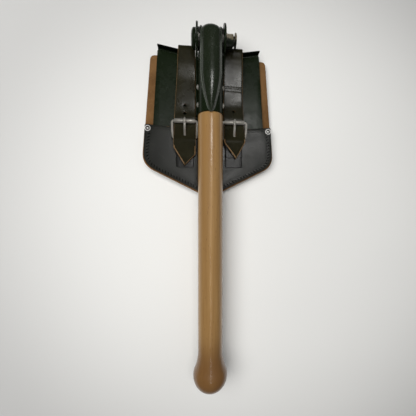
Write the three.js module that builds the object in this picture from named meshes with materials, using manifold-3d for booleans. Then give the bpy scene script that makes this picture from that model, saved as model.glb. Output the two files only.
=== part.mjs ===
// Folding spade with pick, folded and strapped into its leather belt carrier.
// Millimetres. The tool lies on its back: +Y runs along the handle towards the hinge, +Z is up,
// and the origin is on the resting surface, under the middle of the whole length and width.
import * as THREE from "three";
import { mergeVertices } from "three/addons/utils/BufferGeometryUtils.js";
import Module from "manifold-3d";

const wasm = await Module();
wasm.setup();

// ---------------------------------------------------------------- driving dimensions
const TOTAL_LENGTH = 485;
const GAP = 0.3;

const HINGE_RADIUS = 19.8;
const PIVOT_Y = TOTAL_LENGTH / 2 - HINGE_RADIUS;
const AXIS_Z = 42;

const LEATHER = 2.8;
const LOOP_THICKNESS = 2.4;
const BELT_GAP = 5.2;
const BACK_Z = LOOP_THICKNESS + BELT_GAP;
const BLADE_Z = BACK_Z + LEATHER + GAP;
const BLADE_THICKNESS = 2;
const DISH_DEPTH = 2.6;
const BLADE_TOP_Z = BLADE_Z + BLADE_THICKNESS;
const POCKET_Z = BLADE_TOP_Z + DISH_DEPTH + GAP;
const POCKET_TOP_Z = POCKET_Z + 2.5;

const WOOD_RADIUS = 16.25;
const BALL_RADIUS = 22.75;
const NECK_Y = -187.5;
const FERRULE_RADIUS = 16;
const FERRULE_BORE = 14.2;
const FERRULE_END_Y = PIVOT_Y - 96.5;
const FERRULE_TOP_Y = PIVOT_Y - 18;
const TENON_TOP_Y = PIVOT_Y - 40;

const BOLT_RADIUS = 6;
const BOLT_HOLE = 6.4;
const TONGUE_HALF = 10.8;
const TONGUE_EYE = 12;
const EAR_INNER = 11.2;
const PICK_HALF = 14;
const EAR_RADIUS = 15.5;
const CHEEK_INNER = 16.5;
const CHEEK_OUTER = 19.1;

const PICK_LENGTH = 98;
const PICK_TAPER_FROM = 48;
const PICK_ARCH_Z = 12;
const PICK_BASE_Z = 8;
const PICK_TIP_HALF = 3;
const PICK_BULGE = 1.6;
const PICK_DROP = 0.38;
const PICK_WALL_Z = 2;
const PICK_SOLID_TIP = 14;

const NOTCH_Y = PIVOT_Y - 28;
const NOTCH_HALF = 15.4;

const STRAP_X = 34;
const STRAP_HALF = 14.8;
const STRAP_INNER_X = 19.6;
const STRAP_THICKNESS = 2.6;
const STRAP_TIPS = { left: 60.5, right: 70.5 };
const STRAP_HOLES = { left: [143.5, 132.5], right: [137.5] };
const STRAP_OUTER_X = { left: [42.6, 48.2], right: [45.6, 47.8] };
const STRAP_POINT = { left: [24, 15], right: [22.5, 22] };

const HEEL_Y = 98.5;
const HEEL_Z = 23;
const ROLLER_Y = 120.5;
const ROLLER_Z = 27.1;
const ROLLER_RADIUS = 3;
const ROLLER_HALF = 13.7;
const WIRE_RADIUS = 1.75;
const WIRE_BORE = 2.1;
const KNUCKLE_RADIUS = 4.35;
const PRONG_HALF_WIDTH = 1.6;
const PRONG_THICKNESS = 2.6;

const LOOP_WIDTH = 30;
const LOOP_FROM_Y = 76;
const LOOP_TO_Y = 194;

// ---------------------------------------------------------------- solids and booleans
// Signed volume of a triangle mesh: negative when its faces point inwards.
function signedVolume(geometry) {
  const p = geometry.attributes.position;
  const index = geometry.index;
  const a = new THREE.Vector3();
  const b = new THREE.Vector3();
  const c = new THREE.Vector3();
  let volume = 0;
  for (let i = 0; i < index.count; i += 3) {
    a.fromBufferAttribute(p, index.getX(i));
    b.fromBufferAttribute(p, index.getX(i + 1));
    c.fromBufferAttribute(p, index.getX(i + 2));
    volume += a.dot(b.cross(c)) / 6;
  }
  return volume;
}

// A closed geometry with shared vertices and outward faces, as a manifold solid.
function solid(source) {
  const plain = source.clone();
  plain.deleteAttribute("normal");
  plain.deleteAttribute("uv");
  const geometry = mergeVertices(plain, 1e-4);
  const triVerts = new Uint32Array(geometry.index.array);
  if (signedVolume(geometry) < 0) {
    for (let i = 0; i < triVerts.length; i += 3) {
      [triVerts[i + 1], triVerts[i + 2]] = [triVerts[i + 2], triVerts[i + 1]];
    }
  }
  const vertProperties = geometry.attributes.position.array;
  return new wasm.Manifold(new wasm.Mesh({ numProp: 3, vertProperties, triVerts }));
}

const join = (first, ...rest) => rest.reduce((sum, next) => sum.add(next), first);
const cut = (first, ...rest) => rest.reduce((left, next) => left.subtract(next), first);

function toGeometry(manifold) {
  const mesh = manifold.getMesh();
  const geometry = new THREE.BufferGeometry();
  const positions = new THREE.BufferAttribute(new Float32Array(mesh.vertProperties), 3);
  geometry.setAttribute("position", positions);
  geometry.setIndex(new THREE.BufferAttribute(new Uint32Array(mesh.triVerts), 1));
  geometry.computeVertexNormals();
  return geometry;
}

// ---------------------------------------------------------------- shapes
// A closed outline through [x, y] corners; a third number rounds that corner by that distance.
function outline(corners) {
  const shape = new THREE.Shape();
  corners.forEach((corner, i) => {
    const at = new THREE.Vector2(corner[0], corner[1]);
    const reach = corner[2] || 0;
    if (!reach) {
      if (i === 0) shape.moveTo(at.x, at.y);
      else shape.lineTo(at.x, at.y);
      return;
    }
    const before = corners[(i + corners.length - 1) % corners.length];
    const after = corners[(i + 1) % corners.length];
    const from = new THREE.Vector2(before[0], before[1]).sub(at).setLength(reach).add(at);
    const to = new THREE.Vector2(after[0], after[1]).sub(at).setLength(reach).add(at);
    if (i === 0) shape.moveTo(from.x, from.y);
    else shape.lineTo(from.x, from.y);
    shape.quadraticCurveTo(at.x, at.y, to.x, to.y);
  });
  shape.closePath();
  return shape;
}

// The outline of a strip of constant thickness that follows a line of points.
function strip(points, thickness) {
  const line = points.map(([u, v]) => new THREE.Vector2(u, v));
  const side = (sign) =>
    line.map((at, i) => {
      const back = at.clone().sub(line[Math.max(i - 1, 0)]).normalize();
      const ahead = line[Math.min(i + 1, line.length - 1)].clone().sub(at).normalize();
      if (i === 0) back.copy(ahead);
      if (i === line.length - 1) ahead.copy(back);
      const along = back.clone().add(ahead).normalize();
      const reach = thickness / 2 / Math.max(along.dot(ahead), 0.5);
      return [at.x - along.y * reach * sign, at.y + along.x * reach * sign];
    });
  return outline([...side(1), ...side(-1).reverse()]);
}

function extrude(shape, depth, curveSegments = 6) {
  return new THREE.ExtrudeGeometry(shape, { depth, bevelEnabled: false, curveSegments });
}

// Plan shapes (x, y) raised along Z.
function slab(shape, z0, z1, curveSegments) {
  return solid(extrude(shape, z1 - z0, curveSegments).translate(0, 0, z0));
}

// Side shapes (y, z) run along X.
function across(shape, x0, x1, curveSegments) {
  const turn = new THREE.Matrix4().makeBasis(
    new THREE.Vector3(0, 1, 0),
    new THREE.Vector3(0, 0, 1),
    new THREE.Vector3(1, 0, 0),
  );
  return solid(extrude(shape, x1 - x0, curveSegments).applyMatrix4(turn).translate(x0, 0, 0));
}

// End shapes (x, z) run along Y.
function alongY(shape, y0, y1, steps = 1, curveSegments = 6) {
  const options = { depth: y1 - y0, bevelEnabled: false, curveSegments, steps };
  return new THREE.ExtrudeGeometry(shape, options).rotateX(Math.PI / 2).translate(0, y1, 0);
}

// Profiles of [radius, height] turned round an axis.
function lathe(profile, sides) {
  const points = profile.map(([r, h]) => new THREE.Vector2(r, h));
  return new THREE.LatheGeometry(points, sides);
}

const latheX = (profile, y, z, sides = 24) =>
  solid(lathe(profile, sides).rotateZ(-Math.PI / 2).translate(0, y, z));
const latheY = (profile, z, sides = 28) => solid(lathe(profile, sides).translate(0, 0, z));
const latheZ = (profile, x, y, sides = 16) =>
  solid(lathe(profile, sides).rotateX(Math.PI / 2).translate(x, y, 0));

const rodX = (radius, x0, x1, y, z, sides = 20) =>
  latheX([[0, x0], [radius, x0], [radius, x1], [0, x1]], y, z, sides);
const rodZ = (radius, z0, z1, x, y, sides = 8) =>
  latheZ([[0, z0], [radius, z0], [radius, z1], [0, z1]], x, y, sides);
const ringX = (inner, outer, x0, x1, y, z, sides = 20) =>
  latheX([[inner, x0], [outer, x0], [outer, x1], [inner, x1], [inner, x0]], y, z, sides);

function box(x0, x1, y0, y1, z0, z1) {
  const geometry = new THREE.BoxGeometry(x1 - x0, y1 - y0, z1 - z0);
  return solid(geometry.translate((x0 + x1) / 2, (y0 + y1) / 2, (z0 + z1) / 2));
}

// A path straight from point to point, so that a tube along it has one ring at each point.
class PointPath extends THREE.Curve {
  constructor(points) {
    super();
    this.points = points;
  }

  getPoint(t) {
    const place = Math.min(Math.max(t, 0), 1) * (this.points.length - 1);
    const i = Math.min(Math.floor(place), this.points.length - 2);
    return this.points[i].clone().lerp(this.points[i + 1], place - i);
  }

  getPointAt(u) {
    return this.getPoint(u);
  }

  getTangentAt(u) {
    return this.getTangent(u);
  }
}

function wire(points, radius, sides = 8) {
  const section = new THREE.Shape();
  for (let i = 0; i < sides; i += 1) {
    const angle = (2 * Math.PI * i) / sides;
    const x = radius * Math.cos(angle);
    const y = radius * Math.sin(angle);
    if (i === 0) section.moveTo(x, y);
    else section.lineTo(x, y);
  }
  const extrudePath = new PointPath(points);
  const options = { steps: points.length - 1, extrudePath, bevelEnabled: false };
  return solid(new THREE.ExtrudeGeometry(section, options));
}

// ---------------------------------------------------------------- handle
const RIVET_RADIUS = 2.2;
const RIVET_HEAD = 3.8;
const FERRULE_RIVET_YS = [PIVOT_Y - 62, PIVOT_Y - 85];
const TONGUE_PIN_Y = PIVOT_Y - 29;
const rivetHole = (y) =>
  rodX(RIVET_RADIUS + GAP, -FERRULE_RADIUS - 2, FERRULE_RADIUS + 2, y, AXIS_Z, 10);

// Turned shaft with a tenon for the ferrule and a ball at the end, blended by a concave neck.
function woodHandle() {
  const ballY = -TOTAL_LENGTH / 2 + BALL_RADIUS;
  const reach = NECK_Y - ballY;
  const rise = BALL_RADIUS ** 2 - WOOD_RADIUS ** 2;
  const neckRadius = (reach ** 2 - rise) / (2 * (BALL_RADIUS - WOOD_RADIUS));
  const meetAngle = Math.atan2(reach, WOOD_RADIUS + neckRadius);
  const profile = [];
  const ballSteps = 12;
  for (let i = 0; i <= ballSteps; i += 1) {
    const angle = -Math.PI / 2 + ((meetAngle + Math.PI / 2) * i) / ballSteps;
    profile.push([BALL_RADIUS * Math.cos(angle), ballY + BALL_RADIUS * Math.sin(angle)]);
  }
  const neckSteps = 4;
  for (let i = 1; i <= neckSteps; i += 1) {
    const angle = meetAngle * (1 - i / neckSteps);
    const radius = WOOD_RADIUS + neckRadius * (1 - Math.cos(angle));
    profile.push([radius, NECK_Y - neckRadius * Math.sin(angle)]);
  }
  profile.push([WOOD_RADIUS, FERRULE_END_Y - GAP - 1]);
  profile.push([WOOD_RADIUS - 0.6, FERRULE_END_Y - GAP]);
  profile.push([FERRULE_BORE - GAP, FERRULE_END_Y - GAP]);
  profile.push([FERRULE_BORE - GAP, TENON_TOP_Y]);
  profile.push([0, TENON_TOP_Y]);
  profile[0][0] = 0;
  return cut(latheY(profile, AXIS_Z), ...FERRULE_RIVET_YS.map(rivetHole));
}

function ferrule() {
  const tube = latheY(
    [
      [FERRULE_BORE, FERRULE_END_Y],
      [FERRULE_RADIUS, FERRULE_END_Y],
      [FERRULE_RADIUS, FERRULE_TOP_Y],
      [FERRULE_BORE, FERRULE_TOP_Y],
      [FERRULE_BORE, FERRULE_END_Y],
    ],
    AXIS_Z,
  );
  return cut(tube, ...[...FERRULE_RIVET_YS, TONGUE_PIN_Y].map(rivetHole));
}

// Cross rivet with a domed head at each side of the ferrule.
function ferruleRivet(y) {
  const seat = FERRULE_RADIUS + 0.35;
  const profile = [
    [0, -seat - 2.4], [2.4, -seat - 1.9], [RIVET_HEAD, -seat], [RIVET_RADIUS, -seat],
    [RIVET_RADIUS, seat], [RIVET_HEAD, seat], [2.4, seat + 1.9], [0, seat + 2.4],
  ];
  return latheX(profile, y, AXIS_Z, 10);
}

// Round plug in the ferrule, then a flat tongue that ends in the hinge eye.
function hingeTongue() {
  const plug = latheY(
    [
      [0, TENON_TOP_Y + 1],
      [FERRULE_BORE - GAP, TENON_TOP_Y + 1],
      [FERRULE_BORE - GAP, FERRULE_TOP_Y],
      [0, FERRULE_TOP_Y],
    ],
    AXIS_Z,
  );
  const neck = box(
    -TONGUE_HALF + 1, TONGUE_HALF - 1, FERRULE_TOP_Y - 2, PIVOT_Y, AXIS_Z - 10, AXIS_Z + 10,
  );
  const eye = rodX(TONGUE_EYE, -TONGUE_HALF, TONGUE_HALF, PIVOT_Y, AXIS_Z, 32);
  const bore = rodX(BOLT_HOLE, -20, 20, PIVOT_Y, AXIS_Z);
  return cut(join(plug, neck, eye), bore, rivetHole(TONGUE_PIN_Y));
}

function tonguePin() {
  const half = FERRULE_RADIUS - 0.1;
  return rodX(RIVET_RADIUS, -half, half, TONGUE_PIN_Y, AXIS_Z, 10);
}

// ---------------------------------------------------------------- pick
// An arched bar from the hinge to the point. Its sides curve in to the point and its crown
// drops towards it; inset shrinks it for the hollow underneath.
function pickArch(inset, length) {
  const radius = PICK_HALF - inset;
  const section = new THREE.Shape();
  section.moveTo(-radius, PICK_WALL_Z - inset);
  section.lineTo(radius, PICK_WALL_Z - inset);
  section.lineTo(radius, PICK_ARCH_Z);
  section.absarc(0, PICK_ARCH_Z, radius, 0, Math.PI, false);
  section.closePath();
  const geometry = alongY(section, -length, 0, 10, 8);
  const p = geometry.attributes.position;
  for (let i = 0; i < p.count; i += 1) {
    const past = Math.max(-p.getY(i) - PICK_TAPER_FROM, 0) / (PICK_LENGTH - PICK_TAPER_FROM);
    const half = PICK_HALF - (PICK_HALF - PICK_TIP_HALF) * past ** PICK_BULGE - inset;
    const drop = 1 - PICK_DROP * past ** PICK_BULGE;
    p.setX(i, (p.getX(i) * half) / radius);
    p.setZ(i, PICK_BASE_Z + (p.getZ(i) - PICK_BASE_Z) * drop);
  }
  return solid(geometry.translate(0, PIVOT_Y, AXIS_Z));
}

function pick() {
  const wall = PICK_HALF - EAR_INNER;
  const ball = (radius) =>
    solid(new THREE.SphereGeometry(radius, 16, 10).rotateX(Math.PI / 2)
      .translate(0, PIVOT_Y, AXIS_Z + PICK_ARCH_Z));
  const drum = (radius) => rodZ(radius, AXIS_Z - 4, AXIS_Z + PICK_ARCH_Z, 0, PIVOT_Y, 16);
  const outer = join(
    pickArch(0, PICK_LENGTH),
    ball(PICK_HALF),
    drum(PICK_HALF),
    rodX(EAR_RADIUS, -PICK_HALF, PICK_HALF, PIVOT_Y, AXIS_Z, 28),
  );
  const hollow = join(
    pickArch(wall, PICK_LENGTH - PICK_SOLID_TIP),
    ball(EAR_INNER),
    drum(EAR_INNER),
    rodX(EAR_RADIUS + 1, -EAR_INNER, EAR_INNER, PIVOT_Y, AXIS_Z - 4, 24),
  );
  const overFerrule = latheY(
    [
      [0, PIVOT_Y - PICK_LENGTH - 5],
      [FERRULE_RADIUS + 0.35, PIVOT_Y - PICK_LENGTH - 5],
      [FERRULE_RADIUS + 0.35, FERRULE_TOP_Y + 1],
      [0, FERRULE_TOP_Y + 1],
    ],
    AXIS_Z,
    32,
  );
  const belowWalls = box(-20, 20, PIVOT_Y - 120, FERRULE_TOP_Y + 1, AXIS_Z - 20, AXIS_Z + 4);
  const bore = rodX(BOLT_HOLE, -20, 20, PIVOT_Y, AXIS_Z);
  return cut(outer, hollow, overFerrule, belowWalls, bore);
}

// ---------------------------------------------------------------- blade and bracket
const BLADE_SHOULDER = { x: 71.3, y: 224.5 };
const BLADE_LOWER = { x: 81, y: 64 };
const BLADE_TIP_Y = 26;
const LIP_FROM_X = 22;
const LIP_HEIGHT = 9.5;
const SHOULDER_SLOPE = 0.176;
const shoulderY = (x) => BLADE_SHOULDER.y - (BLADE_SHOULDER.x - x) * SHOULDER_SLOPE;
const mirrored = (half) => [...half, ...half.map(([x, y, r]) => [-x, y, r]).reverse()];
const BRACKET_RIVETS = [-72, -40].flatMap((y) => [[-9, PIVOT_Y + y], [9, PIVOT_Y + y]]);

function blade() {
  const plan = outline(
    mirrored([
      [NOTCH_HALF, NOTCH_Y, 5],
      [NOTCH_HALF, shoulderY(NOTCH_HALF)],
      [BLADE_SHOULDER.x, BLADE_SHOULDER.y, 2],
      [BLADE_LOWER.x, BLADE_LOWER.y, 24],
      [3, BLADE_TIP_Y, 3],
    ]),
  );
  const dish = (x) => DISH_DEPTH * (Math.max(Math.abs(x) - 30, 0) / 53) ** 2;
  const line = [-83, -72, -60, -45, -30, 30, 45, 60, 72, 83].map((x) => [x, dish(x)]);
  const middle = BLADE_Z + BLADE_THICKNESS / 2;
  const sheet = solid(alongY(strip(line, BLADE_THICKNESS), 10, 235).translate(0, 0, middle));
  const lipTo = BLADE_SHOULDER.x - 0.6;
  const lip = (side) =>
    slab(
      outline([
        [side * LIP_FROM_X, shoulderY(LIP_FROM_X)],
        [side * lipTo, shoulderY(lipTo) - 0.2],
        [side * lipTo, shoulderY(lipTo) - BLADE_THICKNESS],
        [side * LIP_FROM_X, shoulderY(LIP_FROM_X) - BLADE_THICKNESS],
      ]),
      BLADE_Z + 1,
      BLADE_TOP_Z + LIP_HEIGHT,
    );
  const holes = BRACKET_RIVETS.map(([x, y]) => rodZ(2.7, BLADE_Z - 1, BLADE_TOP_Z + 1, x, y));
  const dished = slab(plan, BLADE_Z - 2, BLADE_TOP_Z + 5).intersect(sheet);
  return cut(join(dished, lip(1), lip(-1)), ...holes);
}

const BRACKET_Z = BLADE_TOP_Z + GAP;
const BRACKET_THICKNESS = 2.6;
const BRACKET_LENGTH = 92;

// A channel riveted to the blade, whose sides rise to the two round hinge cheeks.
function hingeBracket() {
  const side = new THREE.Shape();
  const bottom = BRACKET_Z - AXIS_Z;
  side.moveTo(-BRACKET_LENGTH, bottom);
  side.lineTo(-20, bottom);
  side.lineTo(HINGE_RADIUS * Math.cos(-0.9), HINGE_RADIUS * Math.sin(-0.9));
  side.absarc(0, 0, HINGE_RADIUS, -0.9, Math.PI * 0.95, false);
  side.lineTo(-34, -12);
  side.lineTo(-60, -20.5);
  side.lineTo(-BRACKET_LENGTH, bottom + 4);
  side.closePath();
  const cheek = (x0, x1) => across(side, x0, x1, 16).translate([0, PIVOT_Y, AXIS_Z]);
  const baseTop = BRACKET_Z + BRACKET_THICKNESS;
  const base = box(
    -CHEEK_OUTER, CHEEK_OUTER, PIVOT_Y - BRACKET_LENGTH, NOTCH_Y, BRACKET_Z, baseTop,
  );
  const cheeks = [cheek(-CHEEK_OUTER, -CHEEK_INNER), cheek(CHEEK_INNER, CHEEK_OUTER)];
  const bore = rodX(BOLT_HOLE, -30, 30, PIVOT_Y, AXIS_Z);
  const holes = BRACKET_RIVETS.map(([x, y]) => rodZ(2.7, BRACKET_Z - 1, BRACKET_Z + 4, x, y));
  return cut(join(base, ...cheeks), bore, ...holes);
}

function bracketRivet([x, y]) {
  const seat = BRACKET_Z + BRACKET_THICKNESS + 0.2;
  const profile = [
    [0, BLADE_Z + 0.1], [2.4, BLADE_Z + 0.1], [2.4, seat], [4.2, seat], [3.4, seat + 1.3],
    [0, seat + 1.8],
  ];
  return latheZ(profile, x, y, 8);
}

const hingeWasher = (side) => {
  const [x0, x1] = side < 0 ? [-16.25, -14.25] : [14.25, 16.25];
  return ringX(BOLT_HOLE, 14, x0, x1, PIVOT_Y, AXIS_Z);
};

// ---------------------------------------------------------------- push lock
const BUTTON_STROKE = 2.2;
const SLEEVE_END = 29.4;
const HOUSING_X = -CHEEK_OUTER - GAP;

// Short barrel on the right cheek that guides the bolt, with a ring at its root.
const guideSleeve = () =>
  latheX(
    [
      [BOLT_HOLE, CHEEK_OUTER + GAP],
      [10, CHEEK_OUTER + GAP],
      [10, CHEEK_OUTER + 1.6],
      [8.5, CHEEK_OUTER + 2.2],
      [8.5, SLEEVE_END],
      [BOLT_HOLE, SLEEVE_END],
      [BOLT_HOLE, CHEEK_OUTER + GAP],
    ],
    PIVOT_Y,
    AXIS_Z,
  );

// Domed round cover on the left cheek, hollow for the return spring and open to the cheek.
const springHousing = () =>
  latheX(
    [
      [0, HOUSING_X - 6.6],
      [8, HOUSING_X - 6.1],
      [12.6, HOUSING_X - 4.4],
      [15, HOUSING_X - 1.6],
      [15, HOUSING_X],
      [12.6, HOUSING_X],
      [12.6, HOUSING_X - 1.4],
      [10.8, HOUSING_X - 3.6],
      [7.4, HOUSING_X - 5],
      [0, HOUSING_X - 5.4],
    ],
    PIVOT_Y,
    AXIS_Z,
  );

const COLLAR_X = HOUSING_X - 0.2;
const COLLAR_THICKNESS = 1;
const lockBolt = () =>
  rodX(BOLT_RADIUS, COLLAR_X - COLLAR_THICKNESS - 0.2, 31.2, PIVOT_Y, AXIS_Z);
const boltCollar = () =>
  ringX(BOLT_RADIUS + 0.2, 9.6, COLLAR_X - COLLAR_THICKNESS, COLLAR_X, PIVOT_Y, AXIS_Z);

// Thumb pad with a shallow socket that holds the end of the bolt.
const pushButton = () =>
  latheX(
    [
      [BOLT_RADIUS + 0.2, SLEEVE_END + BUTTON_STROKE + 0.2],
      [9.9, SLEEVE_END + BUTTON_STROKE + 0.2],
      [10.2, SLEEVE_END + BUTTON_STROKE + 0.6],
      [9.9, 33.2],
      [8, 33.8],
      [0, 33.8],
      [0, 31.4 + 0.2],
      [BOLT_RADIUS + 0.2, 31.4 + 0.2],
      [BOLT_RADIUS + 0.2, SLEEVE_END + BUTTON_STROKE + 0.2],
    ],
    PIVOT_Y,
    AXIS_Z,
  );

// Conical wire spring between the housing's roof and the bolt's collar.
function lockSpring() {
  const turns = 2;
  const stepsPerTurn = 10;
  const points = [];
  for (let i = 0; i <= turns * stepsPerTurn; i += 1) {
    const part = i / (turns * stepsPerTurn);
    const angle = 2 * Math.PI * turns * part;
    const radius = 8.6 - 2.6 * part;
    const x = COLLAR_X - COLLAR_THICKNESS - 0.75 - 2.1 * part;
    const y = PIVOT_Y + radius * Math.cos(angle);
    points.push(new THREE.Vector3(x, y, AXIS_Z + radius * Math.sin(angle)));
  }
  return wire(points, 0.45, 6);
}

// ---------------------------------------------------------------- carrier
const CARRIER_HALF = 93.2;
const CARRIER_TIP_Y = 17.5;
const CARRIER_TOP_Y = 214.5;
const CARRIER_TOP_HALF = 81.5;
const POCKET_EDGE_Y = 117.5;
const POCKET_DIP = 4.5;
const SHANK_HOLE = 1.9;
const SHANK = 1.6;

// Lower outline shared by both panels and the welt: right corner, tip, left corner.
const carrierFoot = (inset) => [
  [CARRIER_HALF - inset, 62 + inset * 0.4, 17],
  [4, CARRIER_TIP_Y + inset * 1.1, 4],
];
const carrierSide = (y) => {
  const part = (CARRIER_TOP_Y - y) / (CARRIER_TOP_Y - 62);
  return CARRIER_TOP_HALF + (CARRIER_HALF - CARRIER_TOP_HALF) * part;
};

const POCKET_RIVETS = [[-84.4, 111.5], [84.4, 111.5]];
const STRAP_RIVETS = [-1, 1].flatMap((s) => [[s * STRAP_X - 7, 203], [s * STRAP_X + 7, 203]]);
const LOOP_RIVETS = [-1, 1].flatMap((s) =>
  [LOOP_FROM_Y + 7, LOOP_TO_Y - 7].map((y) => [s * STRAP_X, y]),
);
const CHAPE_RIVETS = [[-STRAP_X, 79.5], [STRAP_X, 79.5]];

function backPanel() {
  const plan = outline(
    mirrored([
      [22, NOTCH_Y - 1, 8],
      [24, CARRIER_TOP_Y, 4],
      [CARRIER_TOP_HALF, CARRIER_TOP_Y, 6],
      ...carrierFoot(0),
    ]),
  );
  const plain = slab(plan, BACK_Z, BACK_Z + LEATHER);
  const holes = [...POCKET_RIVETS, ...STRAP_RIVETS, ...LOOP_RIVETS].map(([x, y]) =>
    rodZ(SHANK_HOLE, BACK_Z - 1, BACK_Z + 4, x, y),
  );
  const recesses = [...STRAP_RIVETS, ...LOOP_RIVETS].map(([x, y]) =>
    rodZ(3.3, BACK_Z + 1.5, BACK_Z + 4, x, y),
  );
  return cut(plain, ...holes, ...recesses);
}

function frontPocket() {
  const side = carrierSide(POCKET_EDGE_Y);
  const plan = outline(mirrored([[side, POCKET_EDGE_Y, 2], ...carrierFoot(0)]));
  const dip = new THREE.Shape();
  dip.moveTo(-side - 5, POCKET_EDGE_Y);
  dip.quadraticCurveTo(0, POCKET_EDGE_Y - 2 * POCKET_DIP, side + 5, POCKET_EDGE_Y);
  dip.lineTo(side + 5, POCKET_EDGE_Y + 20);
  dip.lineTo(-side - 5, POCKET_EDGE_Y + 20);
  dip.closePath();
  const holes = [...POCKET_RIVETS, ...CHAPE_RIVETS].map(([x, y]) =>
    rodZ(SHANK_HOLE, POCKET_Z - 1, POCKET_Z + 4, x, y),
  );
  const sheet = slab(plan, POCKET_Z, POCKET_TOP_Z);
  return cut(sheet, slab(dip, POCKET_Z - 1, POCKET_TOP_Z + 1, 12), ...holes);
}

// The strip sewn between the panels, open at the top where the blade goes in.
function welt() {
  const side = carrierSide(POCKET_EDGE_Y);
  const z0 = BACK_Z + LEATHER + GAP;
  const z1 = POCKET_Z - GAP;
  const outer = slab(outline(mirrored([[side, POCKET_EDGE_Y - 2, 2], ...carrierFoot(0)])), z0, z1);
  const inner = outline(mirrored([[side - 9.5, POCKET_EDGE_Y + 9], ...carrierFoot(6.5)]));
  const holes = POCKET_RIVETS.map(([x, y]) => rodZ(SHANK_HOLE, z0 - 1, z1 + 1, x, y));
  return cut(outer, slab(inner, z0 - 1, z1 + 1), ...holes);
}

// Ring-headed rivet with a small centre, and a plain washer head behind.
function pocketRivet([x, y]) {
  const top = POCKET_TOP_Z + 0.2;
  const profile = [
    [0, BACK_Z - 1.4], [3.6, BACK_Z - 1.4], [4, BACK_Z - 0.2], [SHANK, BACK_Z - 0.2], [SHANK, top],
    [4, top], [4, top + 0.7], [3.2, top + 1.5], [2.2, top + 1.2], [1.8, top + 0.5], [1.2, top + 0.5],
    [0.8, top + 1], [0, top + 1.1],
  ];
  return latheZ(profile, x, y, 14);
}

// Rivet from behind through a strap or loop of the given thickness into the back panel.
function backRivet([x, y], thickness) {
  const seat = BACK_Z - GAP - thickness - 0.2;
  const profile = [
    [0, seat - 1.2], [2.6, seat - 0.9], [3.6, seat], [SHANK, seat], [SHANK, BACK_Z + 1.8],
    [3, BACK_Z + 1.8], [3, BACK_Z + LEATHER - 0.1], [0, BACK_Z + LEATHER - 0.1],
  ];
  return latheZ(profile, x, y, 8);
}

function chapeRivet([x, y]) {
  const seat = POCKET_TOP_Z + GAP + 4.2;
  const profile = [
    [0, POCKET_Z - 1.1], [3, POCKET_Z - 1.1], [3, POCKET_Z - 0.2], [SHANK, POCKET_Z - 0.2],
    [SHANK, seat], [3.4, seat], [2.6, seat + 0.8], [0, seat + 1.1],
  ];
  return latheZ(profile, x, y, 8);
}

// Closing strap: from the back over the shoulder of the blade, under the roller, over the heel
// bar. Its inner side runs straight beside the bracket, and its outer side widens downwards.
function strap(side) {
  const sign = side === "left" ? -1 : 1;
  const x = sign * STRAP_X;
  const backZ = BACK_Z - GAP - STRAP_THICKNESS / 2;
  const tip = STRAP_TIPS[side];
  const line = [
    [196, backZ], [215, backZ], [219.4, backZ + 0.9], [222.2, 10.2], [222.8, 16], [222.8, 22],
    [221.5, 24.4], [218.6, 25.3], [213.5, 24.6], [206, 22], [198, 19.4], [188, 18.4], [176, 18.9],
    [160, 20.2], [140, 21.4], [127, 22.1], [ROLLER_Y, 22.1], [HEEL_Y, 29.4], [94, 30.5],
    [88, 30.4], [78, 29.2], [tip, 28.4 - (78 - tip) * 0.1],
  ];
  const [topX, buckleX] = STRAP_OUTER_X[side];
  const [outerPoint, innerPoint] = STRAP_POINT[side];
  const plan = outline([
    [sign * STRAP_INNER_X, 240],
    [sign * topX, 240],
    [sign * topX, 222],
    [sign * buckleX, ROLLER_Y + 8],
    [sign * buckleX, ROLLER_Y - 8],
    [x + sign * STRAP_HALF, HEEL_Y],
    [x + sign * STRAP_HALF, tip + outerPoint],
    [x, tip],
    [x - sign * STRAP_HALF, tip + innerPoint],
    [x - sign * STRAP_HALF, HEEL_Y],
    [sign * STRAP_INNER_X, ROLLER_Y - 8],
  ]);
  const body = across(strip(line, STRAP_THICKNESS), x - STRAP_HALF - 1, x + STRAP_HALF + 1);
  const slot = outline([
    [x - 2.1, 100.6, 1.4], [x + 2.1, 100.6, 1.4], [x + 2.1, 111.7, 1.4], [x - 2.1, 111.7, 1.4],
  ]);
  const anchor = STRAP_RIVETS.filter((place) => Math.sign(place[0]) === sign);
  return cut(
    body.intersect(slab(plan, 0, 40)),
    slab(slot, 15, 40),
    ...STRAP_HOLES[side].map((y) => rodZ(2, 15, 30, x, y)),
    ...anchor.map(([rx, ry]) => rodZ(SHANK_HOLE, 0, 12, rx, ry)),
  );
}

// Loop of leather on the back for the waist belt, standing off between its two riveted ends.
function beltLoop(side) {
  const x = side === "left" ? -STRAP_X : STRAP_X;
  const tabZ = BACK_Z - GAP - LOOP_THICKNESS / 2;
  const low = LOOP_THICKNESS / 2;
  const line = [
    [LOOP_FROM_Y, tabZ], [LOOP_FROM_Y + 14, tabZ], [LOOP_FROM_Y + 20, low],
    [LOOP_TO_Y - 20, low], [LOOP_TO_Y - 14, tabZ], [LOOP_TO_Y, tabZ],
  ];
  const half = LOOP_WIDTH / 2;
  const rivets = LOOP_RIVETS.filter((place) => Math.sign(place[0]) === Math.sign(x));
  return cut(
    across(strip(line, LOOP_THICKNESS), x - half, x + half),
    ...rivets.map(([rx, ry]) => rodZ(SHANK_HOLE, 0, 12, rx, ry)),
  );
}

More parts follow.
